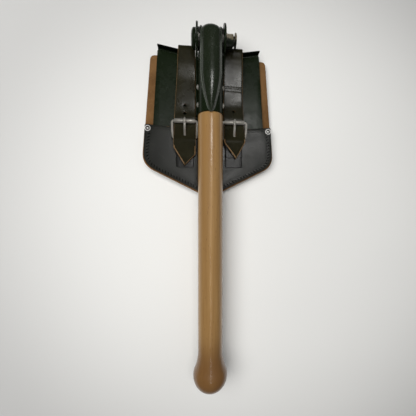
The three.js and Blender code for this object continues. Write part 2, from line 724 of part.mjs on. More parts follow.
// ---------------------------------------------------------------- buckles
// Wire frame, bent from one rod: heel bar, sides that widen towards the roller, roller bar.
function buckleFrame(x) {
  const rise = Math.atan2(ROLLER_Z - HEEL_Z, ROLLER_Y - HEEL_Y);
  const length = Math.hypot(ROLLER_Z - HEEL_Z, ROLLER_Y - HEEL_Y);
  const half = [
    [-0.4, 0], [14.2, 0], [15.5, 0.6], [16.2, 2], [16.3, 6], [16.8, 9], [16.8, length - 2.8],
    [16, length - 0.8], [14.1, length], [-0.4, length],
  ];
  const rod = (side) =>
    wire(
      half.map(([aside, along]) => {
        const y = HEEL_Y + along * Math.cos(rise);
        return new THREE.Vector3(x + side * aside, y, HEEL_Z + along * Math.sin(rise));
      }),
      WIRE_RADIUS,
      10,
    );
  return join(rod(1), rod(-1));
}

const buckleRoller = (x) =>
  ringX(WIRE_BORE, ROLLER_RADIUS, x - ROLLER_HALF, x + ROLLER_HALF, ROLLER_Y, ROLLER_Z, 20);

// Prong: a knuckle round the heel bar and a bar through the strap to the top of the roller.
function buckleProng(x) {
  const restZ = ROLLER_Z + ROLLER_RADIUS + 0.35 + PRONG_THICKNESS / 2;
  const line = [
    [HEEL_Y + 2.6, HEEL_Z + 1.1],
    [ROLLER_Y - 3, restZ - 1.1],
    [ROLLER_Y, restZ],
    [ROLLER_Y + 3.2, restZ + 0.3],
  ];
  const x0 = x - PRONG_HALF_WIDTH;
  const x1 = x + PRONG_HALF_WIDTH;
  const knuckle = rodX(KNUCKLE_RADIUS, x0, x1, HEEL_Y, HEEL_Z, 20);
  const bar = across(strip(line, PRONG_THICKNESS), x0, x1);
  return cut(join(knuckle, bar), rodX(WIRE_BORE, x0 - 1, x1 + 1, HEEL_Y, HEEL_Z, 16));
}

// Leather folded round the heel bar, doubled and riveted to the pocket, slit for the prong.
function chape(x) {
  const z = POCKET_TOP_Z + GAP;
  const side = new THREE.Shape();
  side.moveTo(59, z);
  side.lineTo(HEEL_Y, z);
  side.absarc(HEEL_Y, HEEL_Z, KNUCKLE_RADIUS, -Math.PI / 2, Math.PI * 0.55, false);
  side.lineTo(87, z + 4.4);
  side.lineTo(84, z + 4);
  side.lineTo(73, z + 4);
  side.lineTo(72.6, z + 2);
  side.lineTo(59, z + 2);
  side.closePath();
  const half = 12;
  const slit = box(x - 2.3, x + 2.3, 93, 110, z - 2, HEEL_Z + 8);
  const bore = rodX(WIRE_BORE, x - half - 1, x + half + 1, HEEL_Y, HEEL_Z, 16);
  const rivets = CHAPE_RIVETS.filter((place) => Math.sign(place[0]) === Math.sign(x));
  const holes = rivets.map(([rx, ry]) => rodZ(SHANK_HOLE, z - 1, z + 6, rx, ry));
  return cut(across(side, x - half, x + half, 8), slit, bore, ...holes);
}

// ---------------------------------------------------------------- assembly
const FINISHES = {
  wood: { color: 0xa87a48, roughness: 0.4, metalness: 0 },
  green_paint: { color: 0x27332a, roughness: 0.35, metalness: 0.1 },
  bare_steel: { color: 0x9a948a, roughness: 0.35, metalness: 1 },
  worn_steel: { color: 0x8f846a, roughness: 0.4, metalness: 0.9 },
  pocket_leather: { color: 0x3a3b37, roughness: 0.45, metalness: 0 },
  strap_leather: { color: 0x2c2a1e, roughness: 0.5, metalness: 0 },
  flesh_leather: { color: 0x8a5f3c, roughness: 0.8, metalness: 0 },
};

const camp_shovel = new THREE.Group();

function add(name, finish, manifold) {
  const material = new THREE.MeshStandardMaterial(FINISHES[finish]);
  const mesh = new THREE.Mesh(toGeometry(manifold), material);
  mesh.name = name;
  camp_shovel.add(mesh);
}

add("wood_handle", "wood", woodHandle());
add("ferrule", "green_paint", ferrule());
FERRULE_RIVET_YS.forEach((y, i) => {
  add(`ferrule_rivet_${i + 1}`, "bare_steel", ferruleRivet(y));
});
add("hinge_tongue", "green_paint", hingeTongue());
add("tongue_pin", "green_paint", tonguePin());
add("pick", "green_paint", pick());

add("blade", "green_paint", blade());
add("hinge_bracket", "green_paint", hingeBracket());
BRACKET_RIVETS.forEach((place, i) => {
  add(`bracket_rivet_${i + 1}`, "green_paint", bracketRivet(place));
});
add("hinge_washer_left", "bare_steel", hingeWasher(-1));
add("hinge_washer_right", "bare_steel", hingeWasher(1));

add("guide_sleeve", "worn_steel", guideSleeve());
add("spring_housing", "green_paint", springHousing());
add("lock_bolt", "bare_steel", lockBolt());
add("bolt_collar", "bare_steel", boltCollar());
add("push_button", "worn_steel", pushButton());
add("lock_spring", "bare_steel", lockSpring());

add("back_panel", "flesh_leather", backPanel());
add("front_pocket", "pocket_leather", frontPocket());
add("welt", "flesh_leather", welt());
POCKET_RIVETS.forEach((place, i) => {
  add(`pocket_rivet_${i + 1}`, "bare_steel", pocketRivet(place));
});
STRAP_RIVETS.forEach((place, i) => {
  add(`strap_rivet_${i + 1}`, "bare_steel", backRivet(place, STRAP_THICKNESS));
});
LOOP_RIVETS.forEach((place, i) => {
  add(`belt_loop_rivet_${i + 1}`, "bare_steel", backRivet(place, LOOP_THICKNESS));
});
CHAPE_RIVETS.forEach((place, i) => {
  add(`chape_rivet_${i + 1}`, "bare_steel", chapeRivet(place));
});

for (const side of ["left", "right"]) {
  const x = side === "left" ? -STRAP_X : STRAP_X;
  add(`strap_${side}`, "strap_leather", strap(side));
  add(`belt_loop_${side}`, "strap_leather", beltLoop(side));
  add(`chape_${side}`, "pocket_leather", chape(x));
  add(`buckle_frame_${side}`, "bare_steel", buckleFrame(x));
  add(`buckle_roller_${side}`, "bare_steel", buckleRoller(x));
  add(`buckle_prong_${side}`, "bare_steel", buckleProng(x));
}

export default camp_shovel;
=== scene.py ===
"""Folding spade with pick in its leather carrier, seen from above on a pale floor."""
import math
import random

import bmesh
import bpy
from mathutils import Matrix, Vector, noise


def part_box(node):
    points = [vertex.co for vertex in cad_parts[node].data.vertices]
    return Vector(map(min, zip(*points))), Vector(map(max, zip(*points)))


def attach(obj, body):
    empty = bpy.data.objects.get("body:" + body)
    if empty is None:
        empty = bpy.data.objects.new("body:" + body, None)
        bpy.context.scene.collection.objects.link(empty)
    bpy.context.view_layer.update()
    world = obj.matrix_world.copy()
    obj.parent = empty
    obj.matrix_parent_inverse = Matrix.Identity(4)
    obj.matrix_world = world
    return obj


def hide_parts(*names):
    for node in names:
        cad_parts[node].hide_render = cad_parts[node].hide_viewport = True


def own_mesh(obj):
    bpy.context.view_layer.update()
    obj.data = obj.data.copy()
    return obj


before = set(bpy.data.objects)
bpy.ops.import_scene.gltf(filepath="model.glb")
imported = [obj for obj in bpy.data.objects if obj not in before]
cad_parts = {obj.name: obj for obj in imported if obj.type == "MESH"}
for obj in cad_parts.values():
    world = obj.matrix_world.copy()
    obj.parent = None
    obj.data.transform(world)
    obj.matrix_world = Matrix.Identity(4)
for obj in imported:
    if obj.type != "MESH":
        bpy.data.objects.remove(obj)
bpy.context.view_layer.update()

MM = 0.001
ROOT = "spade_in_carrier"
SIDES = {"left": -1, "right": 1}


def corners_mm(node):
    low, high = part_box(node)
    return [v / MM for v in low], [v / MM for v in high]


def middle_mm(node):
    low, high = corners_mm(node)
    return [(a + b) / 2 for a, b in zip(low, high)]


# ---------------------------------------------------------------- sizes, in millimetres
GAP = 0.3
BOLT_BORE = 6.4
RIVET_SHANK = 1.6
RIVET_HOLE = 1.8

WOOD_RADIUS = 16.25
BALL_RADIUS = 22.75
NECK_Y = -187.5
FERRULE_RADIUS = 16.0
FERRULE_BORE = 14.2

PICK_LENGTH = 98.0
PICK_TAPER_FROM = 48.0
PICK_HALF = 14.0
PICK_ARCH_Z = 12.0
PICK_BASE_Z = 8.0
PICK_TIP_HALF = 3.0
PICK_BULGE = 1.6
PICK_DROP = 0.38
PICK_WALL = 2.8
PICK_STEPS = 44
PICK_DOME = 10.5
EAR_RADIUS = 15.5

HINGE_RADIUS = 19.8
CHEEK_INNER = 16.5
CHEEK_OUTER = 19.1
BRACKET_SHEET = 2.6
BRACKET_REACH = 92
BRACKET_BASE_FROM = 28

SHOULDER_X = 71.3
SHOULDER_Y = 224.5
BLADE_LOWER_X = 81.0
SHOULDER_SLOPE = 0.176
BLADE_SHEET = 2.0
# height above which the blade's paint carries painted shade
LIP_SHADE_Z = 16.5
DISH_DEPTH = 2.6
DISH_FROM_X, DISH_REACH = 30, 53

CARRIER_HALF = 93.2
CARRIER_TIP_Y = 17.5
CARRIER_WIDEST_Y = 62.0
CARRIER_TOP_Y = 214.5
CARRIER_TOP_HALF = 81.5
POCKET_EDGE_Y = 117.5
POCKET_DIP = 4.5
SEAM_INSET = 6.5
STITCH_STEP = 4.3
STITCH_LENGTH = 1.6
THREAD_RADIUS = 0.68
WELT_WIDTH = 9.5

STRAP_X = 34.0
STRAP_HALF = 14.8
STRAP_INNER_X = 19.6
STRAP_OUTER_X = {"left": (42.6, 48.2), "right": (45.6, 47.8)}
STRAP_SHEET = 2.6
STRAP_POINT = {"left": (24.0, 15.0), "right": (22.5, 22.0)}
STRAP_LEAN = {"left": 0.0, "right": 2.4}
STRAP_BOW = {"left": 0.5, "right": 0.0}
STRAP_TIPS = {"left": 60.5, "right": 70.5}
STRAP_HOLES = {"left": (143.5, 132.5), "right": (137.5,)}
STRAP_SAG = {
    "left": ((206, 23.0), (199, 21.0), (190, 19.7), (178, 18.9), (160, 19.6)),
    "right": (
        (206, 23.9), (200, 22.8), (194, 21.8), (188, 20.95), (182, 20.2), (176, 19.5), (171, 19.0),
        (165, 18.5), (158, 18.1), (150, 17.9), (143, 18.2),
    ),
}
CREASES = ((170.5, 0.55), (167.0, 0.4))
SKIVED_TO = 27.0
LOOP_SHEET = 2.4
CHAPE_SHEET = 2.0
CHAPE_RIVET_Y = 79.5
LEATHER_SHARP = 50

HEEL_Y, HEEL_Z = 98.5, 23.0
ROLLER_Y, ROLLER_Z = 120.5, 27.1
WIRE_RADIUS = 1.75
WIRE_BORE = 2.15
ROLLER_RADIUS = 3.0

PIVOT_Y, AXIS_Z = middle_mm("lock_bolt")[1:]
FERRULE_FROM_Y = corners_mm("ferrule")[0][1]
FERRULE_TO_Y = corners_mm("ferrule")[1][1]
BACK_LOW = corners_mm("back_panel")[0][2]
BACK_HIGH = corners_mm("back_panel")[1][2]
POCKET_LOW = corners_mm("front_pocket")[0][2]
POCKET_HIGH = corners_mm("front_pocket")[1][2]
BLADE_LOW = corners_mm("blade")[0][2]
LIP_TOP = corners_mm("blade")[1][2]


# ---------------------------------------------------------------- lines
def rounded(corners, steps=6, closed=True):
    """A line through the corners, curved at each one that gives the reach of its curve."""
    line = []
    for i, corner in enumerate(corners):
        at = Vector(corner[:2])
        reach = corner[2] if len(corner) > 2 else 0
        if not reach or (not closed and i in (0, len(corners) - 1)):
            line.append(at)
            continue
        before = Vector(corners[i - 1][:2])
        after = Vector(corners[(i + 1) % len(corners)][:2])
        start = at + (before - at).normalized() * reach
        end = at + (after - at).normalized() * reach
        for k in range(steps + 1):
            t = k / steps
            line.append(start.lerp(at, t).lerp(at.lerp(end, t), t))
    return line


def spaced(points, step, closed=False):
    """The same line with its points about one step apart."""
    points = [p.copy() for p in points]
    if closed:
        points.append(points[0].copy())
    reached = [0.0]
    for a, b in zip(points, points[1:]):
        reached.append(reached[-1] + (b - a).length)
    count = max(2, round(reached[-1] / step))
    line = []
    place = 0
    for k in range(count if closed else count + 1):
        want = reached[-1] * k / count
        while place < len(points) - 2 and reached[place + 1] < want:
            place += 1
        span = max(reached[place + 1] - reached[place], 1e-9)
        line.append(points[place].lerp(points[place + 1], (want - reached[place]) / span))
    return line


def smooth(points, step):
    """A smooth line through the points (Catmull-Rom), about one step between its points."""
    points = [Vector(p) for p in points]
    ends = [points[0] * 2 - points[1]] + points + [points[-1] * 2 - points[-2]]
    line = []
    parts = 8
    for p0, p1, p2, p3 in zip(ends, ends[1:], ends[2:], ends[3:]):
        for k in range(parts):
            t = k / parts
            line.append(
                0.5 * (2 * p1 + (p2 - p0) * t + (2 * p0 - 5 * p1 + 4 * p2 - p3) * t**2
                       + (3 * p1 - p0 - 3 * p2 + p3) * t**3)
            )
    line.append(points[-1])
    return spaced(line, step)


def turns_left(line):
    """True for a closed line that runs anticlockwise."""
    return sum(a.x * b.y - b.x * a.y for a, b in zip(line, line[1:] + line[:1])) > 0


def inset_line(line, distance):
    """A closed line moved inwards by a distance."""
    sign = 1 if turns_left(line) else -1
    moved = []
    count = len(line)
    for i, at in enumerate(line):
        back = (at - line[i - 1]).normalized()
        ahead = (line[(i + 1) % count] - at).normalized()
        along = (back + ahead).normalized()
        reach = distance / max(along.dot(ahead), 0.5)
        moved.append(at + Vector((-along.y, along.x)) * reach * sign)
    return moved


def distance_to(line):
    """A function that gives the distance from (x, y) to the closed line."""
    pairs = [(a.x, a.y, b.x - a.x, b.y - a.y) for a, b in zip(line, line[1:] + line[:1])]
    pairs = [(ax, ay, dx, dy, max(dx * dx + dy * dy, 1e-9)) for ax, ay, dx, dy in pairs]

    def measure(x, y):
        best = 1e9
        for ax, ay, dx, dy, size in pairs:
            t = min(max(((x - ax) * dx + (y - ay) * dy) / size, 0), 1)
            best = min(best, (ax + dx * t - x) ** 2 + (ay + dy * t - y) ** 2)
        return math.sqrt(best)

    return measure


def bell(value, width):
    return math.exp(-((value / width) ** 2))


def ease(value):
    value = min(max(value, 0), 1)
    return value * value * (3 - 2 * value)


# ---------------------------------------------------------------- meshes
class Build:
    """Points in millimetres and faces of one piece."""

    def __init__(self):
        self.points = []
        self.faces = []
        self.looks = []

    def add(self, points, faces, looks):
        start = len(self.points)
        self.points += [Vector(p) for p in points]
        self.faces += [[start + i for i in face] for face in faces]
        self.looks += looks

    def loft(self, rings, around=False, look=0, look_of=None, caps=True):
        """Skin over rings that all have the same number of points."""
        size = len(rings[0])
        count = len(rings)
        faces = []
        looks = []
        for i in range(count if around else count - 1):
            for j in range(size):
                k = (j + 1) % size
                n = (i + 1) % count
                faces.append((i * size + j, i * size + k, n * size + k, n * size + j))
                looks.append(look_of(i, j) if look_of else look)
        if caps and not around:
            faces.append(tuple(range(size)))
            faces.append(tuple(range((count - 1) * size, count * size)))
            looks += [look, look]
        self.add([p for ring in rings for p in ring], faces, looks)

    def turned(self, profile, place, sides=64, around=False, look_of=None):
        """A turned shape: place puts (radius, angle, height) in the row frame."""
        rings = [
            [place(r, 2 * math.pi * j / sides, h) for j in range(sides)] for r, h in profile
        ]
        self.loft(rings, around, look_of=look_of, caps=False)

    def rod(self, radius, low, high, place, sides=16):
        """A plain round bar, mostly used as a cutter."""
        self.turned([(0, low), (radius, low), (radius, high), (0, high)], place, sides)

    def tube(self, path, radius, sides=14, around=False):
        """A round wire along a path of 3-D points."""
        rings = []
        count = len(path)
        normal = None
        for i, at in enumerate(path):
            ahead = path[(i + 1) % count] if around or i < count - 1 else at
            back = path[i - 1] if around or i > 0 else at
            along = (ahead - back).normalized()
            if normal is None:
                normal = along.orthogonal()
            normal = (normal - along * normal.dot(along)).normalized()
            other = along.cross(normal)
            turn = [2 * math.pi * j / sides for j in range(sides)]
            rings.append([at + (normal * math.cos(a) + other * math.sin(a)) * radius for a in turn])
        self.loft(rings, around)

    def prism(self, line, low, high, place, rim=0.4, look=0, edge_look=None):
        """A flat plate with rounded rims; place puts (u, v, height) in the row frame."""
        edge_look = look if edge_look is None else edge_look
        steps = [(rim, low), (rim * 0.3, low + rim * 0.3), (0, low + rim)]
        steps += [(inset, high + low - h) for inset, h in reversed(steps)]
        rings = [[place(p.x, p.y, h) for p in inset_line(line, d)] for d, h in steps]
        self.loft(rings, look=look, look_of=lambda i, j: edge_look)

    def finish(self, name, nodes, looks, body=ROOT, slot="green_paint", sharp=40):
        """Makes the object and gives it its materials and body; slot is not used."""
        mesh = bpy.data.meshes.new(name)
        mesh.from_pydata([p * MM for p in self.points], [], self.faces)
        for polygon, look in zip(mesh.polygons, self.looks):
            polygon.material_index = look
        made = bmesh.new()
        made.from_mesh(mesh)
        bmesh.ops.remove_doubles(made, verts=made.verts, dist=2e-6)
        bmesh.ops.dissolve_degenerate(made, edges=made.edges, dist=1e-7)
        bmesh.ops.recalc_face_normals(made, faces=made.faces)
        made.to_mesh(mesh)
        made.free()
        mesh.shade_smooth()
        mesh.set_sharp_from_angle(angle=math.radians(sharp))
        for look in looks:
            mesh.materials.append(look)
        piece = bpy.data.objects.new(name, mesh)
        bpy.context.scene.collection.objects.link(piece)
        if nodes:
            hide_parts(*nodes)
        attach(piece, body)
        return piece


def carve(piece, cutter, sharp=40):
    """Cuts the cutter's shapes out of a piece for good."""
    mesh = bpy.data.meshes.new("cutter")
    mesh.from_pydata([p * MM for p in cutter.points], [], cutter.faces)
    made = bmesh.new()
    made.from_mesh(mesh)
    bmesh.ops.remove_doubles(made, verts=made.verts, dist=2e-6)
    bmesh.ops.recalc_face_normals(made, faces=made.faces)
    made.to_mesh(mesh)
    made.free()
    for material in piece.data.materials:
        mesh.materials.append(material)
    for polygon in mesh.polygons:
        polygon.material_index = min(1, len(piece.data.materials) - 1)
    tool = bpy.data.objects.new("cutter", mesh)
    bpy.context.scene.collection.objects.link(tool)
    step = piece.modifiers.new("cut", "BOOLEAN")
    step.operation = "DIFFERENCE"
    step.solver = "EXACT"
    step.object = tool
    bpy.context.view_layer.update()
    seen = piece.evaluated_get(bpy.context.evaluated_depsgraph_get())
    result = bpy.data.meshes.new_from_object(seen)
    piece.modifiers.clear()
    piece.data = result
    result.shade_smooth()
    result.set_sharp_from_angle(angle=math.radians(sharp))
    bpy.data.objects.remove(tool)


def lathe(name, node, profile, place, look, body=ROOT, slot="green_paint", **shape):
    """One turned piece in place of one node."""
    build = Build()
    build.turned(profile, place, **shape)
    return build.finish(name, [node], look if isinstance(look, list) else [look], body, slot)


def along_x(y, z):
    return lambda r, a, h: Vector((h, y + r * math.cos(a), z + r * math.sin(a)))


def along_y(x, z):
    return lambda r, a, h: Vector((x + r * math.cos(a), h, z + r * math.sin(a)))


def along_z(x, y):
    return lambda r, a, h: Vector((x + r * math.cos(a), y + r * math.sin(a), h))


def plan(x, y, z):
    return Vector((x, y, z))


def side_view(y, z, x):
    return Vector((x, y, z))


# ---------------------------------------------------------------- materials
class Look:
    """A procedural material in the making."""

    def __init__(self, name):
        self.material = bpy.data.materials.new(name)
        self.material.use_nodes = True
        self.tree = self.material.node_tree
        self.tree.nodes.clear()
        self.shader = self.tree.nodes.new("ShaderNodeBsdfPrincipled")
        output = self.tree.nodes.new("ShaderNodeOutputMaterial")
        self.tree.links.new(self.shader.outputs[0], output.inputs[0])
        self.place = self.tree.nodes.new("ShaderNodeTexCoord").outputs["Object"]

    def put(self, socket, value):
        if isinstance(value, bpy.types.NodeSocket):
            self.tree.links.new(value, socket)
        elif isinstance(value, tuple) and len(value) == 3 and socket.type == "RGBA":
            socket.default_value = (*value, 1)
        else:
            socket.default_value = value

    def set(self, **values):
        for name, value in values.items():
            self.put(self.shader.inputs[name.replace("_", " ")], value)
        return self

    def node(self, kind, **inputs):
        """A new node with its inputs set by their names."""
        node = self.tree.nodes.new("ShaderNode" + kind)
        for name, value in inputs.items():
            self.put(node.inputs[name.replace("_", " ")], value)
        return node

    def stretched(self, x, y, z):
        """The place on the object, scaled along each axis."""
        node = self.node("VectorMath")
        node.operation = "MULTIPLY"
        self.put(node.inputs[0], self.place)
        node.inputs[1].default_value = (x, y, z)
        return node.outputs[0]

    def noise(self, scale, detail=3, roughness=0.5, where=None, distortion=0):
        node = self.node("TexNoise", Vector=where or self.place, Scale=scale, Detail=detail,
                         Roughness=roughness, Distortion=distortion)
        return node.outputs["Fac"]

    def cells(self, scale, feature="F1", where=None):
        node = self.node("TexVoronoi", Vector=where or self.place, Scale=scale)
        node.feature = feature
        return node.outputs["Distance"]

    def span(self, value, low, high, out_low=0.0, out_high=1.0):
        """A soft step: out_low where the value is low, out_high where it is high."""
        node = self.node("MapRange", Value=value, From_Min=low, From_Max=high, To_Min=out_low,
                         To_Max=out_high)
        node.interpolation_type = "SMOOTHSTEP"
        return node.outputs[0]

    def math(self, kind, a, b=0.0):
        node = self.node("Math")
        node.operation = kind
        self.put(node.inputs[0], a)
        self.put(node.inputs[1], b)
        return node.outputs[0]

    def plus(self, a, b):
        return self.math("ADD", a, b)

    def minus(self, a, b):
        return self.math("SUBTRACT", a, b)

    def times(self, a, b):
        return self.math("MULTIPLY", a, b)

    def mix(self, factor, a, b):
        node = self.node("Mix")
        node.data_type = "RGBA"
        self.put(node.inputs[0], factor)
        self.put(node.inputs[6], a)
        self.put(node.inputs[7], b)
        return node.outputs[2]

    def split(self):
        """X, Y and Z of the place on the object, in metres."""
        return self.node("SeparateXYZ", Vector=self.place).outputs

    def edges(self, low, high):
        """Near 1 on outer edges, from the shape's own pointedness."""
        return self.span(self.node("NewGeometry").outputs["Pointiness"], low, high)

    def bump(self, height, distance, under=None):
        """Relief of the surface, with its depth in millimetres."""
        node = self.node("Bump", Height=height, Distance=distance * MM, Strength=1.0)
        if under is not None:
            self.put(node.inputs["Normal"], under)
        return node.outputs[0]


def wood_look():
    """Oiled beech: long grain, short dark flecks, darker where hands hold the ball."""
    look = Look("oiled_beech")
    grain = look.noise(70, 4, 0.55, look.stretched(1, 0.035, 1), 0.4)
    fine = look.noise(420, 3, 0.6, look.stretched(1, 0.03, 1))
    fleck = look.cells(520, where=look.stretched(1, 0.13, 1))
    patch = look.noise(16, 2)
    color = look.mix(look.span(grain, 0.34, 0.66), (0.25, 0.140, 0.049), (0.34, 0.200, 0.074))
    color = look.mix(look.span(fine, 0.45, 0.75, 0, 0.5), color, (0.21, 0.11, 0.036))
    color = look.mix(look.span(fleck, 0.18, 0.04, 0, 0.85), color, (0.13, 0.062, 0.020))
    color = look.mix(look.span(patch, 0.42, 0.7, 0, 0.25), color, (0.25, 0.13, 0.040))
    _, y, _ = look.split()
    handled = look.span(y, -0.150, -0.205, 0, 0.8)
    color = look.mix(handled, color, (0.125, 0.056, 0.016))
    rough = look.span(look.noise(60, 3), 0.3, 0.7, 0.30, 0.42)
    height = look.plus(look.times(fine, 0.6), look.span(fleck, 0.1, 0.0, 0, -0.5))
    look.set(Base_Color=color, Roughness=rough, Coat_Weight=0.45, Coat_Roughness=0.13)
    look.set(Normal=look.bump(height, 0.09))
    return look.material


def paint_look(
    name="dark_green_paint", dark=(0.0042, 0.0075, 0.0028), light=(0.0066, 0.0108, 0.0044),
    gloss=0.19, painted_shade_above=None,
):
    """Enamel over steel, scratched and worn thin on its edges; above a height, painted shade makes it much
    darker and less glossy.
    """
    look = Look(name)
    tone = look.noise(14, 2)
    color = look.mix(look.span(tone, 0.2, 0.8), dark, light)
    scratch = look.noise(190, 2, 0.5, look.stretched(1.0, 0.12, 1.0), 1.2)
    thin = look.span(look.math("ABSOLUTE", look.minus(scratch, 0.5)), 0.006, 0.0)
    scratched = look.times(thin, look.span(look.noise(40, 2), 0.5, 0.62, 0, 0.5))
    color = look.mix(scratched, color, (0.05, 0.062, 0.05))
    worn = look.times(look.edges(0.56, 0.68), look.span(look.noise(220, 4), 0.45, 0.65))
    color = look.mix(look.times(worn, 0.5), color, (0.12, 0.13, 0.11))
    metal = look.times(worn, 0.4)
    dust = look.span(look.noise(900, 3, 0.7), 0.62, 0.75, 0, 0.08)
    color = look.mix(dust, color, (0.04, 0.045, 0.038))
    if painted_shade_above:
        # painted shade: above this height the colour is darkened and the gloss lowered to stand in for
        # shade
        _, _, z = look.split()
        fade = (painted_shade_above - 2.5 * MM, painted_shade_above + 1.0 * MM)
        color = look.mix(look.span(z, *fade), color, tuple(v * 0.2 for v in dark))
        gloss = look.span(z, *fade, gloss, 0.05)
    rough = look.span(look.noise(110, 4), 0.3, 0.7, 0.22, 0.32)
    peel = look.plus(look.noise(260, 2), look.times(scratched, -0.6))
    look.set(Base_Color=color, Roughness=rough, Metallic=metal, Specular_IOR_Level=gloss)
    look.set(Normal=look.bump(peel, 0.025))
    return look.material


def grain_bump(look, scale, depth):
    """Leather grain: small cells, pores and slow unevenness."""
    warped = look.noise(scale * 0.5, 2)
    cell = look.cells(scale, "SMOOTH_F1")
    pore = look.noise(scale * 2.2, 2, 0.6)
    mixed = look.plus(cell, look.times(pore, 0.5))
    mixed = look.plus(mixed, look.times(warped, 0.8))
    return look.bump(mixed, depth)


def pocket_look(name, dark, light, crease=None):
    """Smooth dark leather; the crease is a line pressed in below the curved top edge, with painted shade
    darkening its colour.
    """
    look = Look(name)
    tone = look.noise(22, 4, 0.6)
    color = look.mix(look.span(tone, 0.3, 0.7), dark, light)
    scuff = look.span(look.noise(80, 5, 0.65, look.stretched(1, 0.6, 1), 0.6), 0.58, 0.72, 0, 0.35)
    color = look.mix(scuff, color, tuple(v * 1.9 for v in light))
    rough = look.span(look.noise(46, 4), 0.3, 0.7, 0.29, 0.38)
    normal = grain_bump(look, 700, 0.04)
    if crease:
        x, y, _ = look.split()
        edge = look.times(look.times(x, x), crease["rise"])
        edge = look.plus(edge, crease["middle"])
        past = look.minus(look.minus(edge, y), crease["below"])
        line = look.span(look.math("ABSOLUTE", past), 0.9 * MM, 0.2 * MM)
        normal = look.bump(look.times(line, -1), 0.12, under=normal)
        # painted shade: the crease line's colour is darkened as if shade lay in it
        color = look.mix(look.times(line, 0.3), color, tuple(v * 0.4 for v in dark))
    look.set(Base_Color=color, Roughness=rough, Normal=normal, Specular_IOR_Level=0.5)
    return look.material


def strap_look():
    """Olive brown leather, waxed and shiny between the shoulder and the buckle."""
    look = Look("waxed_strap_leather")
    tone = look.noise(35, 4, 0.6)
    color = look.mix(look.span(tone, 0.3, 0.7), (0.0095, 0.0088, 0.0042), (0.0165, 0.0150, 0.0075))
    scuff = look.span(look.noise(130, 5, 0.7, look.stretched(1, 0.4, 1), 0.8), 0.6, 0.74, 0, 0.4)
    color = look.mix(scuff, color, (0.040, 0.037, 0.024))
    worn = look.times(look.edges(0.55, 0.68), 0.35)
    color = look.mix(worn, color, (0.11, 0.095, 0.065))
    rough = look.span(look.noise(55, 4), 0.3, 0.7, 0.22, 0.32)
    wrinkle = look.noise(150, 2, 0.5, look.stretched(0.35, 1, 1))
    normal = look.bump(wrinkle, 0.1, under=grain_bump(look, 620, 0.04))
    _, y, _ = look.split()
    below = look.span(y, 0.100, 0.125, 0.1, 1)
    above = look.span(y, 0.210, 0.184, 0.12, 1)
    waxed = look.times(below, above)
    look.set(Base_Color=color, Roughness=rough, Normal=normal)
    look.set(Specular_IOR_Level=look.times(waxed, 0.45))
    return look.material


def flesh_look():
    """The undyed, fibrous side of the leather."""
    look = Look("flesh_side")
    dark, light = (0.105, 0.054, 0.021), (0.165, 0.088, 0.036)
    fibre = look.noise(420, 5, 0.7, distortion=0.8)
    color = look.mix(look.span(look.noise(30, 3), 0.35, 0.65), dark, light)
    color = look.mix(look.span(fibre, 0.5, 0.7, 0, 0.5), color, tuple(v * 1.5 for v in light))
    color = look.mix(look.span(look.noise(900, 2), 0.6, 0.75, 0, 0.5), color, dark)
    look.set(Base_Color=color, Roughness=0.9, Specular_IOR_Level=0.12, Normal=look.bump(fibre, 0.25))
    return look.material


def cut_look():
    """Cut edges, with the layers of the leather."""
    look = Look("cut_edge")
    layer = look.noise(600, 4, 0.7, look.stretched(0.4, 0.4, 2))
    color = look.mix(look.span(layer, 0.35, 0.65), (0.14, 0.080, 0.038), (0.30, 0.19, 0.10))
    look.set(Base_Color=color, Roughness=0.75, Specular_IOR_Level=0.2, Normal=look.bump(layer, 0.2))
    return look.material


def metal_look(name, dark, light, rough, tarnish, spots=0.25, metallic=1.0, paint_and_shade_below=None):
    """Metal with tarnish in spots; below a place in y, dark green that is partly paint left on it and
    partly painted shade on the lower side.
    """
    look = Look(name)
    color = look.mix(look.span(look.noise(90, 4), 0.35, 0.65), dark, light)
    stain = look.span(look.noise(260, 5, 0.7), 0.52, 0.68, 0, spots)
    color = look.mix(stain, color, tarnish)
    if paint_and_shade_below:
        _, y, _ = look.split()
        ragged = look.plus(y, look.span(look.noise(240, 4, 0.6), 0.2, 0.8, -2 * MM, 2 * MM))
        bare = look.span(ragged, paint_and_shade_below - 0.7 * MM, paint_and_shade_below + 0.7 * MM)
        # dark green below the line: partly paint left on the metal, partly painted shade on the lower side
        color = look.mix(bare, (0.0055, 0.0085, 0.004), color)
        metallic = look.times(bare, metallic)
    groove = look.noise(700, 2, 0.5, look.stretched(0.12, 1, 1))
    gloss = look.span(look.noise(150, 3), 0.3, 0.7, rough - 0.07, rough + 0.09)
    rougher = look.plus(gloss, look.times(stain, 0.4))
    look.set(Base_Color=color, Metallic=metallic, Roughness=rougher, Normal=look.bump(groove, 0.02))
    return look.material


def thread_look():
    look = Look("waxed_thread")
    twist = look.noise(1500, 2, 0.6)
    color = look.mix(look.span(twist, 0.35, 0.65), (0.002, 0.002, 0.0018), (0.005, 0.005, 0.004))
    look.set(Base_Color=color, Roughness=0.8, Specular_IOR_Level=0.1)
    look.set(Normal=look.bump(twist, 0.1))
    return look.material


